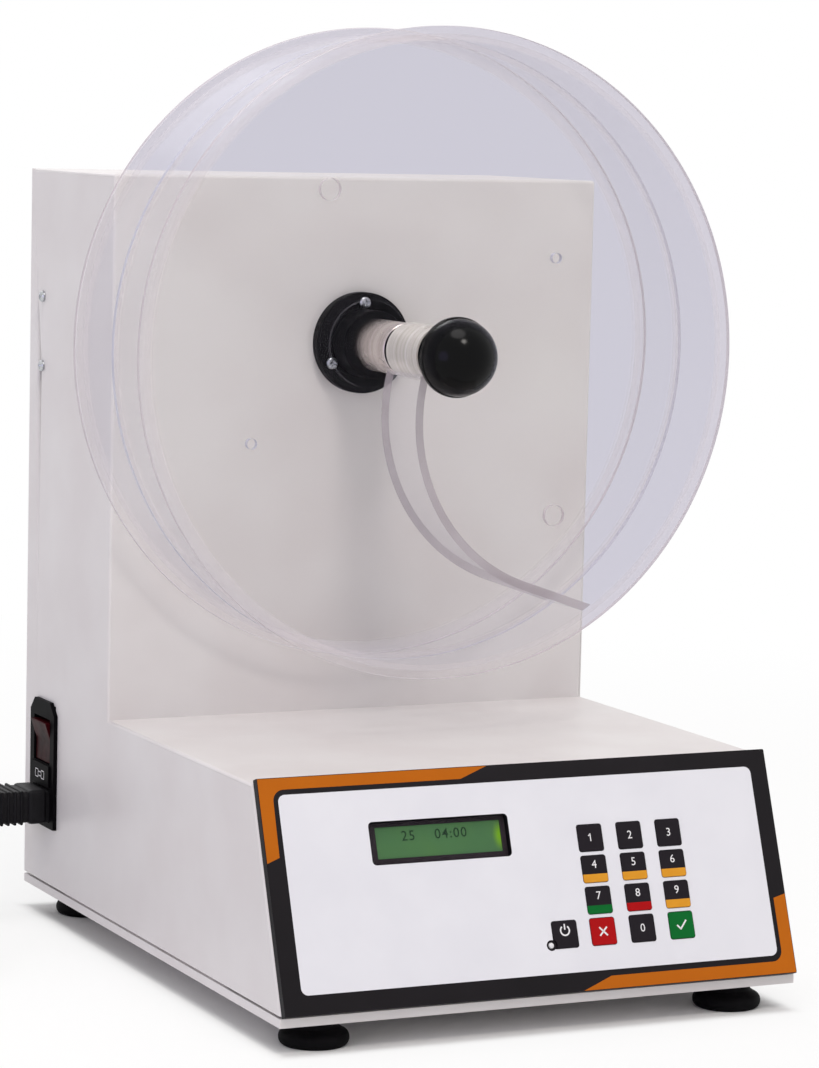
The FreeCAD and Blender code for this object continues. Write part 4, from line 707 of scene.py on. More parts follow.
LENS = lamp_lens()
BOARD = board_laminate()
SHEET_ZINC = zinc_sheet()
TAPE = winding_tape()
FUSE_GLASS = glass_tube()
ACRYLIC = acrylic_sheet()
ACRYLIC_ROD = acrylic_rod()
SAWN_EDGE = sawn_acrylic("sawn_acrylic_edge", "#BFB4BA", "#CCC2C7", 0.62)
SCRAPED_EDGE = sawn_acrylic("scraped_acrylic_edge", "#B4B5CA", "#CBCAD9", 0.66)
GLUED_RIM = sawn_acrylic("glued_acrylic_rim", "#DDD6DA", "#E4DCDF", 0.14)
# near-white lines on the discs' rounded outer edges: a painted highlight, standing in for lamp shine along
# the rims
PAINTED_EDGE_HIGHLIGHT = sawn_acrylic("acrylic_arris_painted_highlight", "#EFECF1", "#E2DEE5", 0.5)
# the arm's edges: frosted sawn acrylic, made darker grey than the other edges as painted shade
DARKENED_ARM_FINISH = sawn_acrylic("frosted_arm_edge_painted_shade", "#A1979D", "#C2BAC2", 0.7)
BEZEL = moulded_bezel()


# Mains lead: the route repeats the frame's own, then the coil is worked out turn by turn
CORD_RADIUS = 3.5
CORD_EXIT = (-194.5, 135.1, 57.6)
CORD_ROUTE = [
    CORD_EXIT,
    (-218.0, 135.1, 57.6),
    (-244.0, 132.2, 45.0),
    (-266.0, 124.0, 27.0),
    (-283.5, 110.3, 10.3),
    (-292.2, 88.5, 3.5),
    (-292.2, 67.0, 3.5),
]
COIL_CENTER = (-240.0, 60.0)
COIL_INNER = 30.0
COIL_PITCH = 7.4
COIL_TURNS = 3
COIL_STEPS = 20
COIL_LEAD = 7.0


def coil_point(turns):
    """The coil's center line after so many turns: wound in below, out again above."""
    climb = min(max(turns - COIL_TURNS, 0), 0.5) / 0.5
    radius = COIL_INNER - COIL_PITCH / 4 + COIL_PITCH * abs(turns - COIL_TURNS - 0.25)
    angle = math.pi + 2 * math.pi * turns
    return (
        COIL_CENTER[0] + radius * math.cos(angle), COIL_CENTER[1] + radius * math.sin(angle),
        CORD_RADIUS + COIL_PITCH * climb)


def make_cord():
    total = 2 * COIL_TURNS + 0.5
    count = int(total * COIL_STEPS)
    route = CORD_ROUTE + [coil_point(total * index / count) for index in range(count + 1)]
    last = route[-1]
    route.append((last[0], last[1] + COIL_LEAD, last[2]))
    curve = bpy.data.curves.new("mains_cord_jacket", "CURVE")
    curve.dimensions = "3D"
    spline = curve.splines.new("NURBS")
    spline.points.add(len(route) - 1)
    for point, place in zip(spline.points, route):
        point.co = (*(Vector(place) * MM), 1)
    spline.order_u = 3
    spline.use_endpoint_u = True
    spline.resolution_u = 4
    curve.bevel_depth = CORD_RADIUS * MM
    curve.bevel_resolution = 4
    curve.use_fill_caps = True
    curve.materials.append(JACKET)
    cord = bpy.data.objects.new("mains_cord_jacket", curve)
    bpy.context.scene.collection.objects.link(cord)
    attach(cord, "root")
    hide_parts("mains_cord", "mains_coil")
    return cord, route[-1]


def relief_outline(tip, root, start, end, ribs, groove=0.7):
    """A tapered strain relief with ribs, from its slim end to its root."""
    outline = []
    for index in range(ribs):
        low = start + (end - start) * index / ribs
        high = start + (end - start) * (index + 0.62) / ribs
        radius = tip + (root - tip) * (index + 0.5) / ribs
        outline += [(radius, low), (radius, high), (radius - groove, high), (
            radius - groove, start + (end - start) * (index + 1) / ribs)]
    return outline


def make_plug(start):
    """The plug: ribbed relief, round waisted grip with finger grooves, three round pins."""
    low, high = span("mains_plug")
    x, _, z = start
    y = start[1]
    relief = 33.0
    body_start = y + relief
    face = high.y - 19.0
    radius = (high.x - low.x) / 2
    outline = [(POLE, y)] + relief_outline(3.8, 6.0, y, body_start, 7)
    outline += [(6.5, body_start), (radius, body_start + 6)]
    grooves = 4
    for index in range(grooves):
        place = body_start + 10 + index * 3.6
        outline += [(radius, place), (radius - 0.9, place + 0.7), (radius - 0.9, place + 1.5),
                    (radius, place + 2.2)]
    outline += [(radius, face), (POLE, face)]
    grip = turned("plug_grip", outline, (x, 0, z), steps=64, edge=0.35, segments=2)
    settle(grip, JACKET, "root", "cord_pvc", ("mains_plug",))
    pins = []
    for angle in (90, 210, 330):
        center = (x + 6.2 * math.cos(math.radians(angle)), 0, z + 6.2 * math.sin(math.radians(angle)))
        pins.append(turned("plug_pin", [
            (POLE, face - 1), (2.4, face - 1), (2.4, high.y - 1.2), (1.9, high.y - 0.35),
            (1.0, high.y), (POLE, high.y)], center, steps=32))
    pins = settle(joined("plug_pins", pins), GROUND_STEEL, "root", "nickel_steel")
    return [grip, pins]


def make_connector():
    """The appliance connector: a rounded grip with a waist, its nose, and a ribbed relief."""
    low, high = span("mains_connector")
    middle = (low + high) / 2
    grip_end = low.x + 30
    grip_face = grip_end + 35
    half = Vector((0, 12.5, 8.5))
    waist = Vector((0, 0.7, 0.7))
    grip = block("connector_grip", (Vector((grip_end, middle.y, middle.z)) - half + waist),
                 (Vector((grip_face - 8, middle.y, middle.z)) + half - waist), 2.6, 5)
    head = block("connector_head", (Vector((grip_face - 10, middle.y, middle.z)) - half),
                 (Vector((grip_face, middle.y, middle.z)) + half), 2.2, 4)
    ribs = []
    for index in range(6):
        place = grip_end + 4 + index * 3.4
        ribs.append(block("connector_rib", Vector((place, middle.y, middle.z)) - half,
                          Vector((place + 1.5, middle.y, middle.z)) + half, 0.7, 3))
    nose = block("connector_nose", (grip_face - 2, middle.y - 11.8, middle.z - 7.8),
                 (high.x, middle.y + 11.8, middle.z + 7.8), 0.8)
    outline = [(POLE, low.x)] + relief_outline(3.9, 6.3, low.x, grip_end, 7)
    outline += [(6.6, grip_end + 1), (POLE, grip_end + 1)]
    relief = turned("connector_relief", outline, (0, middle.y, middle.z), "X", 64, 0.3, 2)
    return settle(joined("connector_moulding", [grip, head, nose, relief] + ribs), JACKET, "root", "cord_pvc",
                  ("mains_connector",))


def make_tie():
    """A hook-and-loop strap once round the bundle of turns."""
    inner = COIL_INNER - COIL_PITCH / 4 - CORD_RADIUS
    outer = inner + COIL_PITCH * (COIL_TURNS + 0.25) + 2 * CORD_RADIUS
    top = 2 * CORD_RADIUS + COIL_PITCH
    angle = math.radians(200)
    half = 6.0
    thick = 0.8
    outside = plate("coil_tie", rectangle(
        ((inner + outer) / 2, (top + thick) / 2), outer - inner + 2 * thick, top + thick),
        -half, half, 5.5, 0.25, 8)
    inside = plate("tie_hole", rectangle(
        ((inner + outer) / 2, (top + thick) / 2), outer - inner, top - thick),
        -2 * half, 2 * half, 4.8, 0, 8)
    cut_out(outside, inside)
    smooth(outside)
    stand = Matrix.Rotation(math.radians(90), 4, "X")
    turn = Matrix.Rotation(angle, 4, "Z")
    shift = Matrix.Translation((*COIL_CENTER, 0))
    return settle(outside, STRAP, "root", "cord_pvc", (), ROW @ shift @ turn @ stand)


def make_lead():
    cord, cord_end = make_cord()
    pieces = make_plug(cord_end)
    pieces.append(make_connector())
    pieces.append(make_tie())


# Case: the folded cover, rear cover, tray, screws and feet
def make_case():
    for node, finish, slot in (
            ("housing_shell", STEEL, "painted_steel"), ("rear_cover", STEEL, "painted_steel"),
            ("base_tray", STEEL, "painted_steel"), ("case_screws", ZINC, "steel_screws")):
        piece = eased_copy(node, node + "_finished")
        settle(piece, finish, "root", slot, (node,))


FOOT_NECK = 10.5
FOOT_BULGE = 2.6
FOOT_WAIST = 3.3


def make_feet():
    """Round rubber feet: a broad soft pad, a slimmer neck, and a recess for the screw."""
    low, high = span("rubber_feet")
    radius = 15.5
    well = 3.75
    tall = high.z
    side = []
    for step in range(12):
        angle = math.radians(-70 + step * 12)
        side.append((
            radius - FOOT_BULGE * (1 - math.cos(angle)), FOOT_WAIST + FOOT_WAIST * math.sin(angle)))
    lowest = side[0][1]
    side = [(reach, height - lowest) for reach, height in side]
    outline = [(well, tall / 2), (well, 0.3), (well + 0.6, 0)] + side + [
        (FOOT_NECK + 0.6, tall * 0.62), (FOOT_NECK, tall * 0.72), (FOOT_NECK, tall), (1.6, tall),
        (1.6, tall / 2)]
    feet = []
    for x in (low.x + radius, high.x - radius):
        for y in (low.y + radius, high.y - radius):
            feet.append(turned("foot", closed(outline), (x, y, 0), "Z", 72, 0.25, 2))
    settle(joined("moulded_feet", feet), RUBBER, "root", "black_rubber", ("rubber_feet",))


# Panel: film with its printed fields, display, keys and lamp
def key_places():
    places = {}
    for number in range(1, 10):
        line = 3 - (number - 1) // 3
        places["key_%d" % number] = (KEY_COLUMNS[(number - 1) % 3], KEY_LINES[line])
    places["key_cancel"] = (KEY_COLUMNS[0], KEY_LINES[0])
    places["key_0"] = (KEY_COLUMNS[1], KEY_LINES[0])
    places["key_enter"] = (KEY_COLUMNS[2], KEY_LINES[0])
    places["key_power"] = POWER_KEY
    return places


def panel_cutter():
    """The openings for the display and the keys, as one closed tool."""
    tools = [plate("tool", rectangle(DISPLAY, *DISPLAY_OPENING), 0, 9, 2.0)]
    for place in key_places().values():
        tools.append(plate(
            "tool", rectangle(place, KEY[0] + 2 * KEY_GAP, KEY[1] + 2 * KEY_GAP), 0, 9,
            KEY_CORNER + KEY_GAP))
    return joined("panel_tool", tools)


def lamp_cutter(radius):
    return turned("lamp_tool", [(POLE, 0), (radius, 0), (radius, 9), (POLE, 9)],
                  (*LAMP, 0), "Z", 48)


def make_overlay():
    left, right, low, high = -PANEL_HALF, PANEL_HALF, 0.0, PANEL_LENGTH
    sheet_front = OVERLAY_FRONT - INK
    sheet = plate("overlay_film", [(left, low), (right, low), (right, high), (left, high)],
                  OVERLAY_BACK, sheet_front, 0.8, 0.12)
    field = plate("overlay_field", [(-117.0, 8.6), (117.2, 8.6), (117.2, 95.4), (-117.0, 95.4)],
                  sheet_front, OVERLAY_FRONT, FIELD_CORNER)
    upper = plate("overlay_band_upper", [
        (left + 0.3, 66.0), (-119.5, 68.3), (-119.1, 97.7), (-29.1, 97.7), (-15.8, high - 0.3),
        (left + 0.3, high - 0.3)], sheet_front, OVERLAY_FRONT)
    round_off(upper, BAND_CORNER, lambda corner: corner.x < -118 and corner.y > 97 and corner.x > -120)
    lower = plate("overlay_band_lower", [
        (17.3, low + 0.3), (right - 0.3, low + 0.3), (right - 0.3, 36.2), (119.4, 34.6),
        (119.4, 5.9), (31.8, 5.9)], sheet_front, OVERLAY_FRONT)
    round_off(lower, BAND_CORNER, lambda corner: 119 < corner.x < 120 and corner.y < 7)
    for piece in (sheet, field):
        cut_out(piece, panel_cutter())
        cut_out(piece, lamp_cutter(LAMP_RING))
        smooth(piece)
    settle(sheet, FILM_DARK, "root", "printed_overlay", ("panel_overlay",), PANEL)
    settle(field, FILM_WHITE, "root", "printed_overlay", (), PANEL)
    settle(upper, FILM_ORANGE, "root", "printed_overlay", (), PANEL)
    settle(lower, FILM_ORANGE, "root", "printed_overlay", (), PANEL)
    plate_piece = eased_copy("panel_plate", "panel_plate_finished")
    settle(plate_piece, PLATE_BLACK, "root", "black_panel", ("panel_plate",))


def make_lamp():
    """The power lamp: a frosted dome in a black ring printed round it."""
    ring = turned("lamp_ring", ring_outline(LAMP_RING - 0.05, LAMP_RADIUS + 0.12,
                                            OVERLAY_BACK, OVERLAY_FRONT + 0.05),
                  (*LAMP, 0), "Z", 48, 0.08, 2)
    settle(ring, KEY_BLACK, "root", "printed_overlay", (), PANEL)
    tip = OVERLAY_FRONT + 0.5
    dome = [(LAMP_RADIUS * math.cos(math.radians(turn)),
             tip - LAMP_RADIUS + LAMP_RADIUS * math.sin(math.radians(turn)))
            for turn in range(0, 90, 15)]
    lens = turned("lamp_lens", [(POLE, -3), (LAMP_RADIUS, -3)] + dome + [(POLE, tip)],
                  (*LAMP, 0), "Z", 40)
    settle(lens, LENS, "root", "lamp_lens", ("power_led",), PANEL)


def make_display():
    """Display module behind its pane: black bezel, green glass, and one line of plain figures."""
    pane = plate("display_pane", rectangle(
        DISPLAY, DISPLAY_OPENING[0] - 2 * KEY_GAP, DISPLAY_OPENING[1] - 2 * KEY_GAP),
        0.6, WINDOW_THICK, 1.8, 0.1)
    settle(pane, PANE, "root", "display_glass", ("lcd_window",), PANEL)
    middle = (DISPLAY[0] + DISPLAY_SHIFT[0], DISPLAY[1] + DISPLAY_SHIFT[1])
    bezel = plate("display_bezel", rectangle(DISPLAY, 71.0, 24.0), -7.2, -0.2, 1.0, 0.3)
    frame_front = plate("display_frame", rectangle(
        DISPLAY, DISPLAY_OPENING[0] - 0.3, DISPLAY_OPENING[1] - 0.3), -0.3, 0.5, 1.5, 0.1)
    for piece in (bezel, frame_front):
        cut_out(piece, plate("tool", rectangle(middle, *DISPLAY_GLASS), -1.7, 3))
        smooth(piece)
    settle(joined("display_bezel", [bezel, frame_front]), BEZEL, "root", "display_module",
           ("lcd_module",), PANEL)
    glass = plate("display_glass_plate", rectangle(
        middle, DISPLAY_GLASS[0] - 0.1, DISPLAY_GLASS[1] - 0.1), -1.0, 0.25, 0, 0.1)
    settle(glass, LCD_GREEN, "root", "display_module", (), PANEL)
    board = plate("display_board", rectangle(DISPLAY, 80.0, 36.0), -8.8, -7.2, 1.0, 0.15)
    settle(board, BOARD, "root", "circuit_board", (), PANEL)
    figures = [
        figure("display_figures_%d" % line, text, (DISPLAY[0] - 1, DISPLAY[1] + rise), 4.4,
               0.25, 0.02, 0.03, 1.15)
        for line, (text, rise) in enumerate((("25    04:00", 2.9),), start=1)]
    settle(joined("display_figures", figures), DISPLAY_INK, "root", "display_module", (), PANEL)


def figure(name, text, center, height, low, thick, bold=0.0, spread=1.0):
    """Plain figures as a thin raised print."""
    deselect()
    bpy.ops.object.text_add(location=(0, 0, 0))
    piece = bpy.context.object
    data = piece.data
    data.body = text
    data.size = height / 0.7
    data.align_x = "CENTER"
    data.align_y = "CENTER"
    data.extrude = thick / 2
    data.offset = bold
    data.space_character = spread
    data.resolution_u = 3
    bpy.ops.object.convert(target="MESH")
    piece = name_piece(name)
    piece.data.transform(Matrix.Translation((center[0], center[1], low + thick / 2)))
    edit_all(piece)
    bpy.ops.mesh.remove_doubles(threshold=0.0005)
    leave_edit()
    return piece


def stroke(start, end, width, low, thick):
    """A thin straight bar of print from one point to another."""
    start, end = Vector(start), Vector(end)
    run = end - start
    deselect()
    bpy.ops.mesh.primitive_cube_add(size=1, scale=(run.length + width * 0.7, width, thick))
    bar = name_piece("stroke")
    ease(bar, width * 0.3, 2)
    middle = (start + end) / 2
    bar.data.transform(Matrix.Translation((middle.x, middle.y, low + thick / 2))
                       @ Matrix.Rotation(math.atan2(run.y, run.x), 4, "Z"))
    return bar


def power_mark(center, low):
    """A ring open at its top with a bar in the opening."""
    radius = 2.15
    deselect()
    bpy.ops.mesh.primitive_plane_add(size=1, location=(0, 0, 0))
    mark = name_piece("power_ring")
    opening = math.radians(76)
    start = Matrix.Rotation(math.pi / 2 - opening / 2, 4, "Z")
    for vertex, corner in zip(mark.data.vertices, (
            (radius - 0.35, 0, -INK), (radius + 0.35, 0, -INK),
            (radius - 0.35, 0, INK), (radius + 0.35, 0, INK))):
        vertex.co = start @ Vector(corner)
    edit_all(mark)
    bpy.ops.mesh.spin(steps=32, angle=2 * math.pi - opening, center=(0, 0, 0), axis=(0, 0, 1))
    bpy.ops.mesh.select_all(action="SELECT")
    bpy.ops.mesh.normals_make_consistent(inside=False)
    leave_edit()
    mark.data.transform(Matrix.Translation((center[0], center[1], low + INK)))
    bar = stroke((center[0], center[1] + 0.6), (center[0], center[1] + 2.7), 0.7, low, 2 * INK)
    return [mark, bar]


def make_key(key, place):
    """One key: a rounded pad with its flange, its ink strip and its mark."""
    body = key + "_cap"
    cap_ink = {"key_cancel": KEY_RED, "key_enter": KEY_GREEN}.get(key, KEY_BLACK)
    slot = {"key_cancel": "key_red", "key_enter": "key_green"}.get(key, "key_black")
    pad = plate(key + "_pad", rectangle(place, *KEY), -0.5, KEY_TOP, KEY_CORNER, 0.22)
    if key == "key_power":
        cut_out(pad, lamp_cutter(LAMP_RING + KEY_GAP))
        smooth(pad)
    flange = plate(key + "_rim", rectangle(place, KEY[0] + 2, KEY[1] + 2), -0.9, -0.1,
                   KEY_CORNER, 0.1)
    if key == "key_power":
        cut_out(flange, lamp_cutter(LAMP_RING + KEY_GAP))
    settle(joined(key + "_pad", [pad, flange]), cap_ink, body, slot, (key,), PANEL)
    strip_ink = {"key_7": KEY_GREEN, "key_8": KEY_RED}.get(
        key, KEY_AMBER if key in ("key_4", "key_5", "key_6", "key_9") else None)
    across, up = place
    low = KEY_TOP
    if strip_ink is not None:
        wrap = 0.04
        bottom = up - KEY[1] / 2 - wrap
        strip = plate(key + "_strip", rectangle(
            (across, bottom + KEY_STRIP / 2), KEY[0] + 2 * wrap, KEY_STRIP), 2.0, low + INK)
        round_off(strip, KEY_CORNER, lambda corner: corner.y < bottom + KEY_STRIP / 2)
        ease(strip, 0.2, 2)
        settle(strip, strip_ink, body, slot, (), PANEL)
        up += KEY_STRIP / 2
    if key == "key_cancel":
        marks = [stroke((across - 1.7, up - 1.7), (across + 1.7, up + 1.7), 0.75, low, INK),
                 stroke((across - 1.7, up + 1.7), (across + 1.7, up - 1.7), 0.75, low, INK)]
    elif key == "key_enter":
        marks = [stroke((across - 2.2, up - 0.1), (across - 0.7, up - 1.7), 0.75, low, INK),
                 stroke((across - 0.7, up - 1.7), (across + 2.3, up + 1.9), 0.75, low, INK)]
    elif key == "key_power":
        marks = power_mark((across, up + 1.7), low)
    else:
        marks = [figure(key + "_figure", key[-1], (across, up), FIGURE_HEIGHT, low, INK)]
        if key == "key_1":
            marks.append(stroke((across - 0.85, up + 0.95), (across + 0.05, up + 1.6), 0.5, low, INK))
    settle(joined(key + "_mark", marks), INK_WHITE, body, slot, (), PANEL)


# Mains inlet, its rocker and fuse drawer
def make_inlet():
    for node, finish, body, slot, edge in (
            ("inlet_body", ABS, "root", "black_plastic", 0.35),
            ("fuse_drawer", ABS, "drawer", "black_plastic", 0.25),
            ("rocker_switch", ROCKER_RED, "rocker", "rocker_red", 0.5)):
        piece = eased_copy(node, node + "_moulded", edge, 2)
        settle(piece, finish, body, slot, (node,))
    low, high = span("fuse_drawer")
    middle = (low + high) / 2
    x = low.x
    marks = []

    def bar(first, second):
        (y0, z0), (y1, z1) = first, second
        half = 0.22
        marks.append(block("fuse_mark_bar", (x - INK, min(y0, y1) - half, min(z0, z1) - half),
                           (x + INK, max(y0, y1) + half, max(z0, z1) + half), 0.01, 1))

    y, z = middle.y, middle.z
    for side in (-1, 1):
        inner, outer = y + side * 2.2, y + side * 6.2
        bar((inner, z - 1.9), (outer, z - 1.9))
        bar((inner, z + 1.9), (outer, z + 1.9))
        bar((outer, z - 1.9), (outer, z + 1.9))
        bar((inner, z - 1.9), (inner, z + 1.9))
        bar((y - 2.2, z + side * 1.0), (y + 2.2, z + side * 1.0))
    settle(joined("fuse_mark", marks), INK_WHITE, "drawer", "black_plastic")


# Drive line: bearing housing, hub, shaft, washer and knob on the drum's axis
def make_bearing_housing():
    low, high = span("bearing_housing")
    face = high.y - 14
    radius = (high.x - low.x) / 2
    nose = 16.3
    bore = 7.5
    outline = closed([
        (bore, low.y), (nose, low.y), (nose, face - 6), (radius, face - 6), (radius, face),
        (15.0, face), (15.0, high.y), (12.0, high.y), (12.0, high.y - 1), (bore, high.y - 1)])
    piece = turned("flange_turned", outline, SHAFT_LINE, edge=0.6, segments=3, steps=128)
    settle(piece, ENAMEL, "root", "black_metal", ("bearing_housing",))


def make_shaft():
    """Ground shaft with a shoulder and a threaded stud in front."""
    low, high = span("drum_shaft")
    shoulder = low.y + 18.5
    pitch = 1.5
    turns = 10
    outline = [(POLE, low.y), (4.0, low.y), (4.9, low.y + 0.9)]
    for index in range(turns):
        place = low.y + 1.0 + index * pitch
        outline += [(5.0, place + 0.4), (4.35, place + 0.4 + pitch / 2)]
    outline += [(4.35, shoulder - 0.8), (4.35, shoulder), (6.0, shoulder), (6.0, high.y),
                (POLE, high.y)]
    piece = turned("shaft_turned", outline, SHAFT_LINE, steps=48)
    settle(piece, GROUND_STEEL, "drive_shaft", "nickel_steel", ("drum_shaft",))
    low, high = span("drive_hub")
    radius = (high.x - low.x) / 2
    outline = ring_outline(radius, 6.02, low.y, high.y)
    piece = turned("hub_turned", outline, SHAFT_LINE, edge=0.5, steps=128)
    settle(piece, NICKEL, "drive_shaft", "satin_nickel", ("drive_hub",))
    low, high = span("hub_o_ring")
    radius = (high.x - low.x) / 2
    piece = turned("hub_ring_moulded", ring_outline(radius, 6.02, low.y, high.y), SHAFT_LINE,
                   edge=0.8, steps=96)
    settle(piece, RUBBER, "drive_shaft", "black_rubber", ("hub_o_ring",))


def make_knob():
    low, high = span("clamp_knob")
    rim = (high.x - low.x) / 2
    neck = 10.0
    rim_back = high.y - 10.2
    rim_front = rim_back - 2.5
    dome_radius = rim - 0.55
    crown = rim_front - low.y
    outline = [(POLE, low.y + 10), (5.0, low.y + 10), (5.0, high.y), (neck, high.y),
               (neck, rim_back), (rim, rim_back), (rim, rim_front)]
    for step in range(0, 24):
        angle = math.radians(90 - step * 90 / 24)
        outline.append((dome_radius * math.sin(angle), rim_front - crown * math.cos(angle)))
    outline.append((POLE, low.y))
    piece = turned("knob_moulded", outline, SHAFT_LINE, steps=128, edge=0.35)
    settle(piece, PHENOLIC, "knob", "black_plastic", ("clamp_knob",))
    low, high = span("knob_washer")
    radius = (high.x - low.x) / 2
    piece = turned("washer_turned", ring_outline(radius, 6.3, low.y, high.y), SHAFT_LINE,
                   edge=0.2, steps=96)
    settle(piece, ABS, "washer", "black_plastic", ("knob_washer",))


# Drum: clear discs, rings, arm, tube, lid and boss
SHEET_GAP = 0.03
RING_WALL = 3.0
DISC_STEPS = 192


def dress_faces(piece, choose, *finishes):
    """Give each face the finish that a rule picks for it, by its number."""
    piece.data.materials.clear()
    for finish in finishes:
        piece.data.materials.append(finish)
    for face in piece.data.polygons:
        face.material_index = choose(face)


def across(face):
    return abs(face.normal.y) < 0.6


def reach(face):
    return math.hypot(face.center.x, face.center.z - AXIS_HEIGHT)


def drum_hole(radius, ring, angle, low, high):
    center = (ring * math.cos(math.radians(angle)), 0,
              AXIS_HEIGHT + ring * math.sin(math.radians(angle)))
    return turned("tool", [(POLE, low - 2), (radius, low - 2), (radius, high + 2), (POLE, high + 2)],
                  center, "Y", 48)


def clear_disc(node, name, body, bore, rim, edge_finish, holes=()):
    """A disc with its bore and holes, its outer rim glued to a ring from a radius outwards."""
    low, high = span(node)
    radius = (high.x - low.x) / 2
    back, front = low.y + SHEET_GAP, high.y - SHEET_GAP
    outline = [(bore, back), (rim, back), (radius, back), (radius, front), (rim, front), (bore, front)]
    piece = turned(name, closed(outline), SHAFT_LINE, steps=DISC_STEPS)
    for hole_radius, ring, angle in holes:
        cut_out(piece, drum_hole(hole_radius, ring, angle, low.y, high.y))
    ease(piece, 0.4, 2)

    def choose(face):
        away = reach(face)
        if across(face):
            return 1 if away > bore + 1 else 0
        # the rounded faces at the outer edge get the near-white painted highlight
        if away > radius - 1 and abs(face.normal.y) < 0.99:
            return 3
        return 2 if away > rim else 0

    dress_faces(piece, choose, ACRYLIC, edge_finish, GLUED_RIM, PAINTED_EDGE_HIGHLIGHT)
    settle(piece, None, body, "clear_plastic", (node,))


def clear_ring(node, name, wall):
    low, high = span(node)
    radius = (high.x - low.x) / 2
    piece = turned(name, ring_outline(radius, radius - wall, low.y, high.y), SHAFT_LINE,
                   steps=DISC_STEPS, edge=0.15, segments=2)
    dress_faces(piece, lambda face: 0 if across(face) else 1, ACRYLIC, GLUED_RIM)
    settle(piece, None, "drum", "clear_plastic", (node,))


def make_drum():
    ring_low, ring_high = span("drum_front_ring")
    rim = (ring_high.x - ring_low.x) / 2 - RING_WALL
    clear_disc("drum_rear_disc", "rear_disc_clear", "drum", 21.0, rim, SAWN_EDGE)
    clear_disc("drum_mid_disc", "mid_disc_clear", "drum", 12.6, rim, SCRAPED_EDGE,
               [(2.5, 89.0, 29.0), (2.5, 89.0, 209.0)])
    clear_disc("drum_lid", "lid_clear", "lid", 6.3, rim, SAWN_EDGE,
               [(5.0, 95.5, 128.0), (5.0, 95.5, 308.0)])
    clear_ring("drum_rear_ring", "rear_ring_clear", RING_WALL)
    clear_ring("drum_front_ring", "front_ring_clear", RING_WALL)
    low, high = span("drum_hub_tube")
    radius = (high.x - low.x) / 2
    back = high.y - 2.6
    tube = turned("hub_tube_clear", closed([
        (6.15, low.y), (radius, low.y), (radius, back - 2.8), (radius - 1.7, back), (6.15, back)]),
        SHAFT_LINE, steps=96, edge=0.3)
    settle(tube, ACRYLIC_ROD, "drum", "clear_plastic", ("drum_hub_tube",))
    low, high = span("lid_boss")
    boss = turned("lid_boss_clear", ring_outline(radius, 6.35, low.y, high.y - SHEET_GAP),
                  SHAFT_LINE, steps=96, edge=0.4)
    settle(boss, ACRYLIC_ROD, "lid", "clear_plastic", ("lid_boss",))
    arm = eased_copy("drum_arm", "arm_clear", 0.2, 2)
    # the arm's faces that look along the axis take the darker edge finish, grey with painted shade
    dress_faces(arm, lambda face: 0 if across(face) else 1, ACRYLIC, DARKENED_ARM_FINISH)
    settle(arm, None, "drum", "clear_plastic", ("drum_arm",))


# Inner pieces keep the frame's shapes and get their finishes
def dress_inner():
    finishes = {
        "keypad_board": BOARD, "power_board": BOARD, "dome_switches": ABS,
        "board_standoffs": ZINC, "inlet_pins": GROUND_STEEL, "motor_bracket": SHEET_ZINC,
        "motor_can": SHEET_ZINC, "gearbox_housing": ABS, "transformer": TAPE,
        "bearing_outer_rings": GROUND_STEEL, "bearing_inner_rings": GROUND_STEEL,
        "speed_sensor": ABS, "fuse_link": FUSE_GLASS, "drum_gear": GROUND_STEEL,
        "encoder_disc": SHEET_ZINC, "motor_pinion": GROUND_STEEL,
    }
    for node, finish in finishes.items():
        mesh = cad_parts[node].data
        mesh.materials.clear()
        mesh.materials.append(finish)


# Stage: floor, world and lamps. Through the clear drum the ground shows as the pale lilac grey of
# the photograph's own backdrop, and elsewhere as white
BACKDROP = "#D2D0DC"
FLOOR_SIZE = 12.0
BASE_SHADE = 6.0
FLOOR_FADE = (0.45, 1.2)
FLOOR_GLOW = 0.7


def ground_colour(owner, paths):
    """White, and the backdrop's colour for a ray that came through something clear."""
    through = add_node(owner, "ShaderNodeMath", {
        0: paths.outputs["Transparent Depth"], 1: 0.5}, operation="GREATER_THAN")
    through = add_node(owner, "ShaderNodeMath", {
        0: through.outputs["Value"], 1: paths.outputs["Is Transmission Ray"]}, operation="MAXIMUM")
    seen = add_node(owner, "ShaderNodeMath", {
        0: 1.0, 1: paths.outputs["Is Diffuse Ray"]}, operation="SUBTRACT")
    through = add_node(owner, "ShaderNodeMath", {
        0: through.outputs["Value"], 1: seen.outputs["Value"]}, operation="MULTIPLY")
    return add_node(owner, "ShaderNodeMix", {
        "Factor": through.outputs["Value"], 6: linear("#FFFFFF"), 7: linear(BACKDROP)},
        data_type="RGBA").outputs[2]


def clear_of_base(finish):
    """0 on the ground under the base, where its shade stays, and 1 a little outside it."""
    low, high = span("base_tray")
    away = add_node(finish.material, "ShaderNodeVectorMath", {
        0: finish.place}, operation="ABSOLUTE")
    away = add_node(finish.material, "ShaderNodeVectorMath", {
        0: away.outputs["Vector"], 1: (high * MM)}, operation="SUBTRACT")
    parts = add_node(finish.material, "ShaderNodeSeparateXYZ", {0: away.outputs["Vector"]})
    furthest = add_node(finish.material, "ShaderNodeMath", {
        0: parts.outputs["X"], 1: parts.outputs["Y"]}, operation="MAXIMUM")
    return add_node(finish.material, "ShaderNodeMapRange", {
        "Value": furthest.outputs["Value"], "From Min": -BASE_SHADE * MM,
        "From Max": BASE_SHADE * MM}, interpolation_type="SMOOTHSTEP").outputs["Result"]


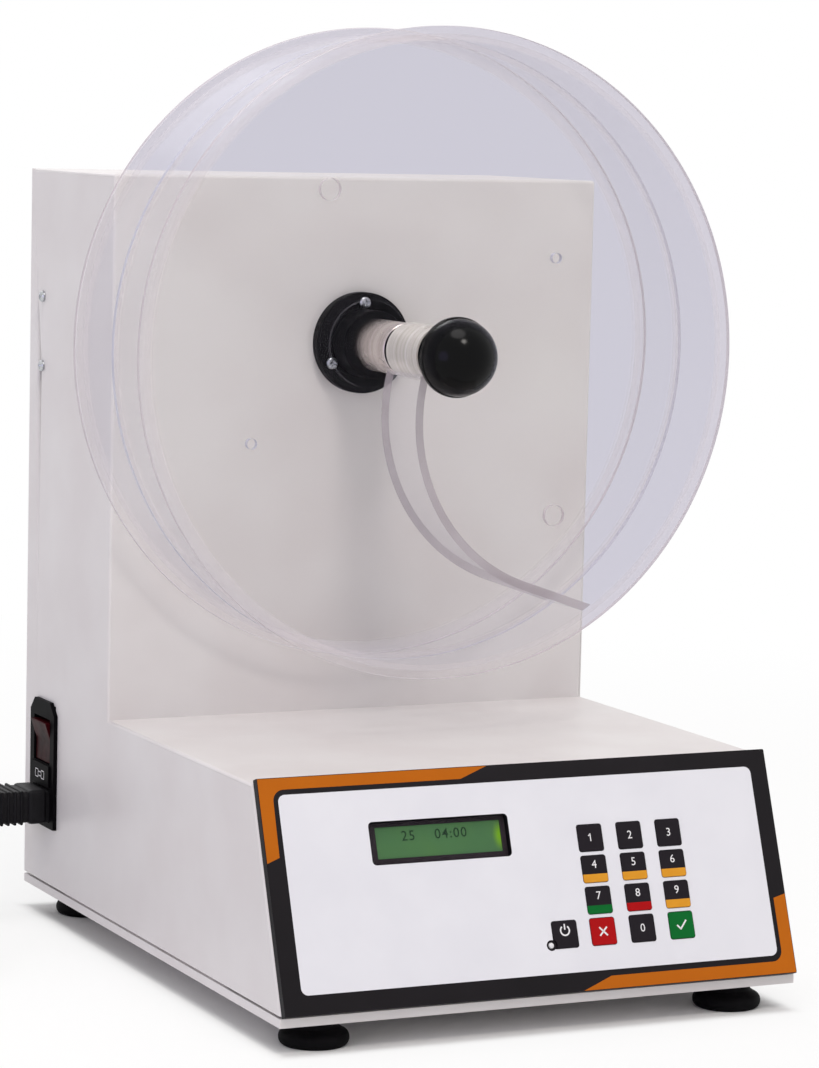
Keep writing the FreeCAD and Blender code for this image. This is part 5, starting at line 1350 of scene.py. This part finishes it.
def make_floor():
    """A white floor that keeps the shadow near the object and fades into the white ground."""
    deselect()
    bpy.ops.mesh.primitive_plane_add(size=FLOOR_SIZE, location=(0, 0, 0))
    floor = name_piece("floor")
    finish = Finish("floor_white", "#F4F4F4", 0.9, specular_ior_level=0.0)
    away = add_node(finish.material, "ShaderNodeVectorMath", {0: finish.place}, operation="LENGTH")
    fade = add_node(finish.material, "ShaderNodeMapRange", {
        "Value": away.outputs["Value"], "From Min": FLOOR_FADE[0], "From Max": FLOOR_FADE[1],
        "To Min": FLOOR_GLOW}, interpolation_type="SMOOTHSTEP")
    paths = add_node(finish.material, "ShaderNodeLightPath")
    seen = add_node(finish.material, "ShaderNodeMath", {
        0: paths.outputs["Is Camera Ray"], 1: paths.outputs["Is Glossy Ray"]}, operation="MAXIMUM")
    seen = add_node(finish.material, "ShaderNodeMath", {
        0: seen.outputs["Value"], 1: paths.outputs["Is Transmission Ray"]}, operation="MAXIMUM")
    white = add_node(finish.material, "ShaderNodeEmission", {
        "Color": ground_colour(finish.material, paths), "Strength": 1.0})
    share = add_node(finish.material, "ShaderNodeMath", {
        0: seen.outputs["Value"], 1: fade.outputs["Result"]}, operation="MULTIPLY")
    share = add_node(finish.material, "ShaderNodeMath", {
        0: share.outputs["Value"], 1: clear_of_base(finish)}, operation="MULTIPLY")
    mix = add_node(finish.material, "ShaderNodeMixShader", {
        0: share.outputs["Value"], 1: finish.shader.outputs["BSDF"], 2: white.outputs["Emission"]})
    finish.tree.links.new(
        mix.outputs["Shader"], finish.tree.nodes["Material Output"].inputs["Surface"])
    floor.data.materials.append(finish.material)


def make_world():
    """White where it is seen, also in metal, and a plain pale light for the rest."""
    world = bpy.data.worlds.new("studio")
    world.use_nodes = True
    bpy.context.scene.world = world
    tree = world.node_tree
    background = tree.nodes["Background"]
    paths = add_node(world, "ShaderNodeLightPath")
    seen = add_node(world, "ShaderNodeMath", {
        0: paths.outputs["Is Camera Ray"], 1: paths.outputs["Is Glossy Ray"]}, operation="MAXIMUM")
    seen = add_node(world, "ShaderNodeMath", {
        0: seen.outputs["Value"], 1: paths.outputs["Is Transmission Ray"]}, operation="MAXIMUM")
    strength = add_node(world, "ShaderNodeMapRange", {
        "Value": seen.outputs["Value"], "To Min": WORLD_LIGHT, "To Max": 1.0})
    tree.links.new(strength.outputs["Result"], background.inputs["Strength"])
    tree.links.new(ground_colour(world, paths), background.inputs["Color"])


WORLD_LIGHT = 0.62
LAMPS = (
    ("front_softbox", (-0.15, -1.75, 2.5), 0.6, 20.0, "#FFFAF4"),
    ("top_softbox", (-0.3, -0.4, 2.6), 1.4, 18.5, "#FFFCFA"),
    ("left_fill", (-2.6, -0.9, 0.5), 1.4, 7.8, "#D2C9FF"),
    ("back_fill", (0.1, 2.5, 1.8), 1.4, 10.0, "#FFFFFF"),
)
LAMP_TARGET = Vector((0, 0, 0.22))


def make_lamps():
    for name, place, size, power, colour in LAMPS:
        data = bpy.data.lights.new(name, "AREA")
        data.shape = "DISK"
        data.size = size
        data.energy = power
        data.color = linear(colour)[:3]
        lamp = bpy.data.objects.new(name, data)
        bpy.context.scene.collection.objects.link(lamp)
        lamp.location = place
        lamp.rotation_euler = (LAMP_TARGET - Vector(place)).to_track_quat("-Z", "Y").to_euler()


make_lead()
make_case()
make_feet()
make_overlay()
make_lamp()
make_display()
for key_name, key_place in key_places().items():
    make_key(key_name, key_place)
make_inlet()
make_bearing_housing()
make_shaft()
make_knob()
make_drum()
dress_inner()
make_floor()
make_world()
make_lamps()

bpy.context.scene.view_settings.view_transform = "Standard"
# a look through the drum crosses a dozen clear faces, and the light behind it as many again
bpy.context.scene.cycles.transparent_max_bounces = 64
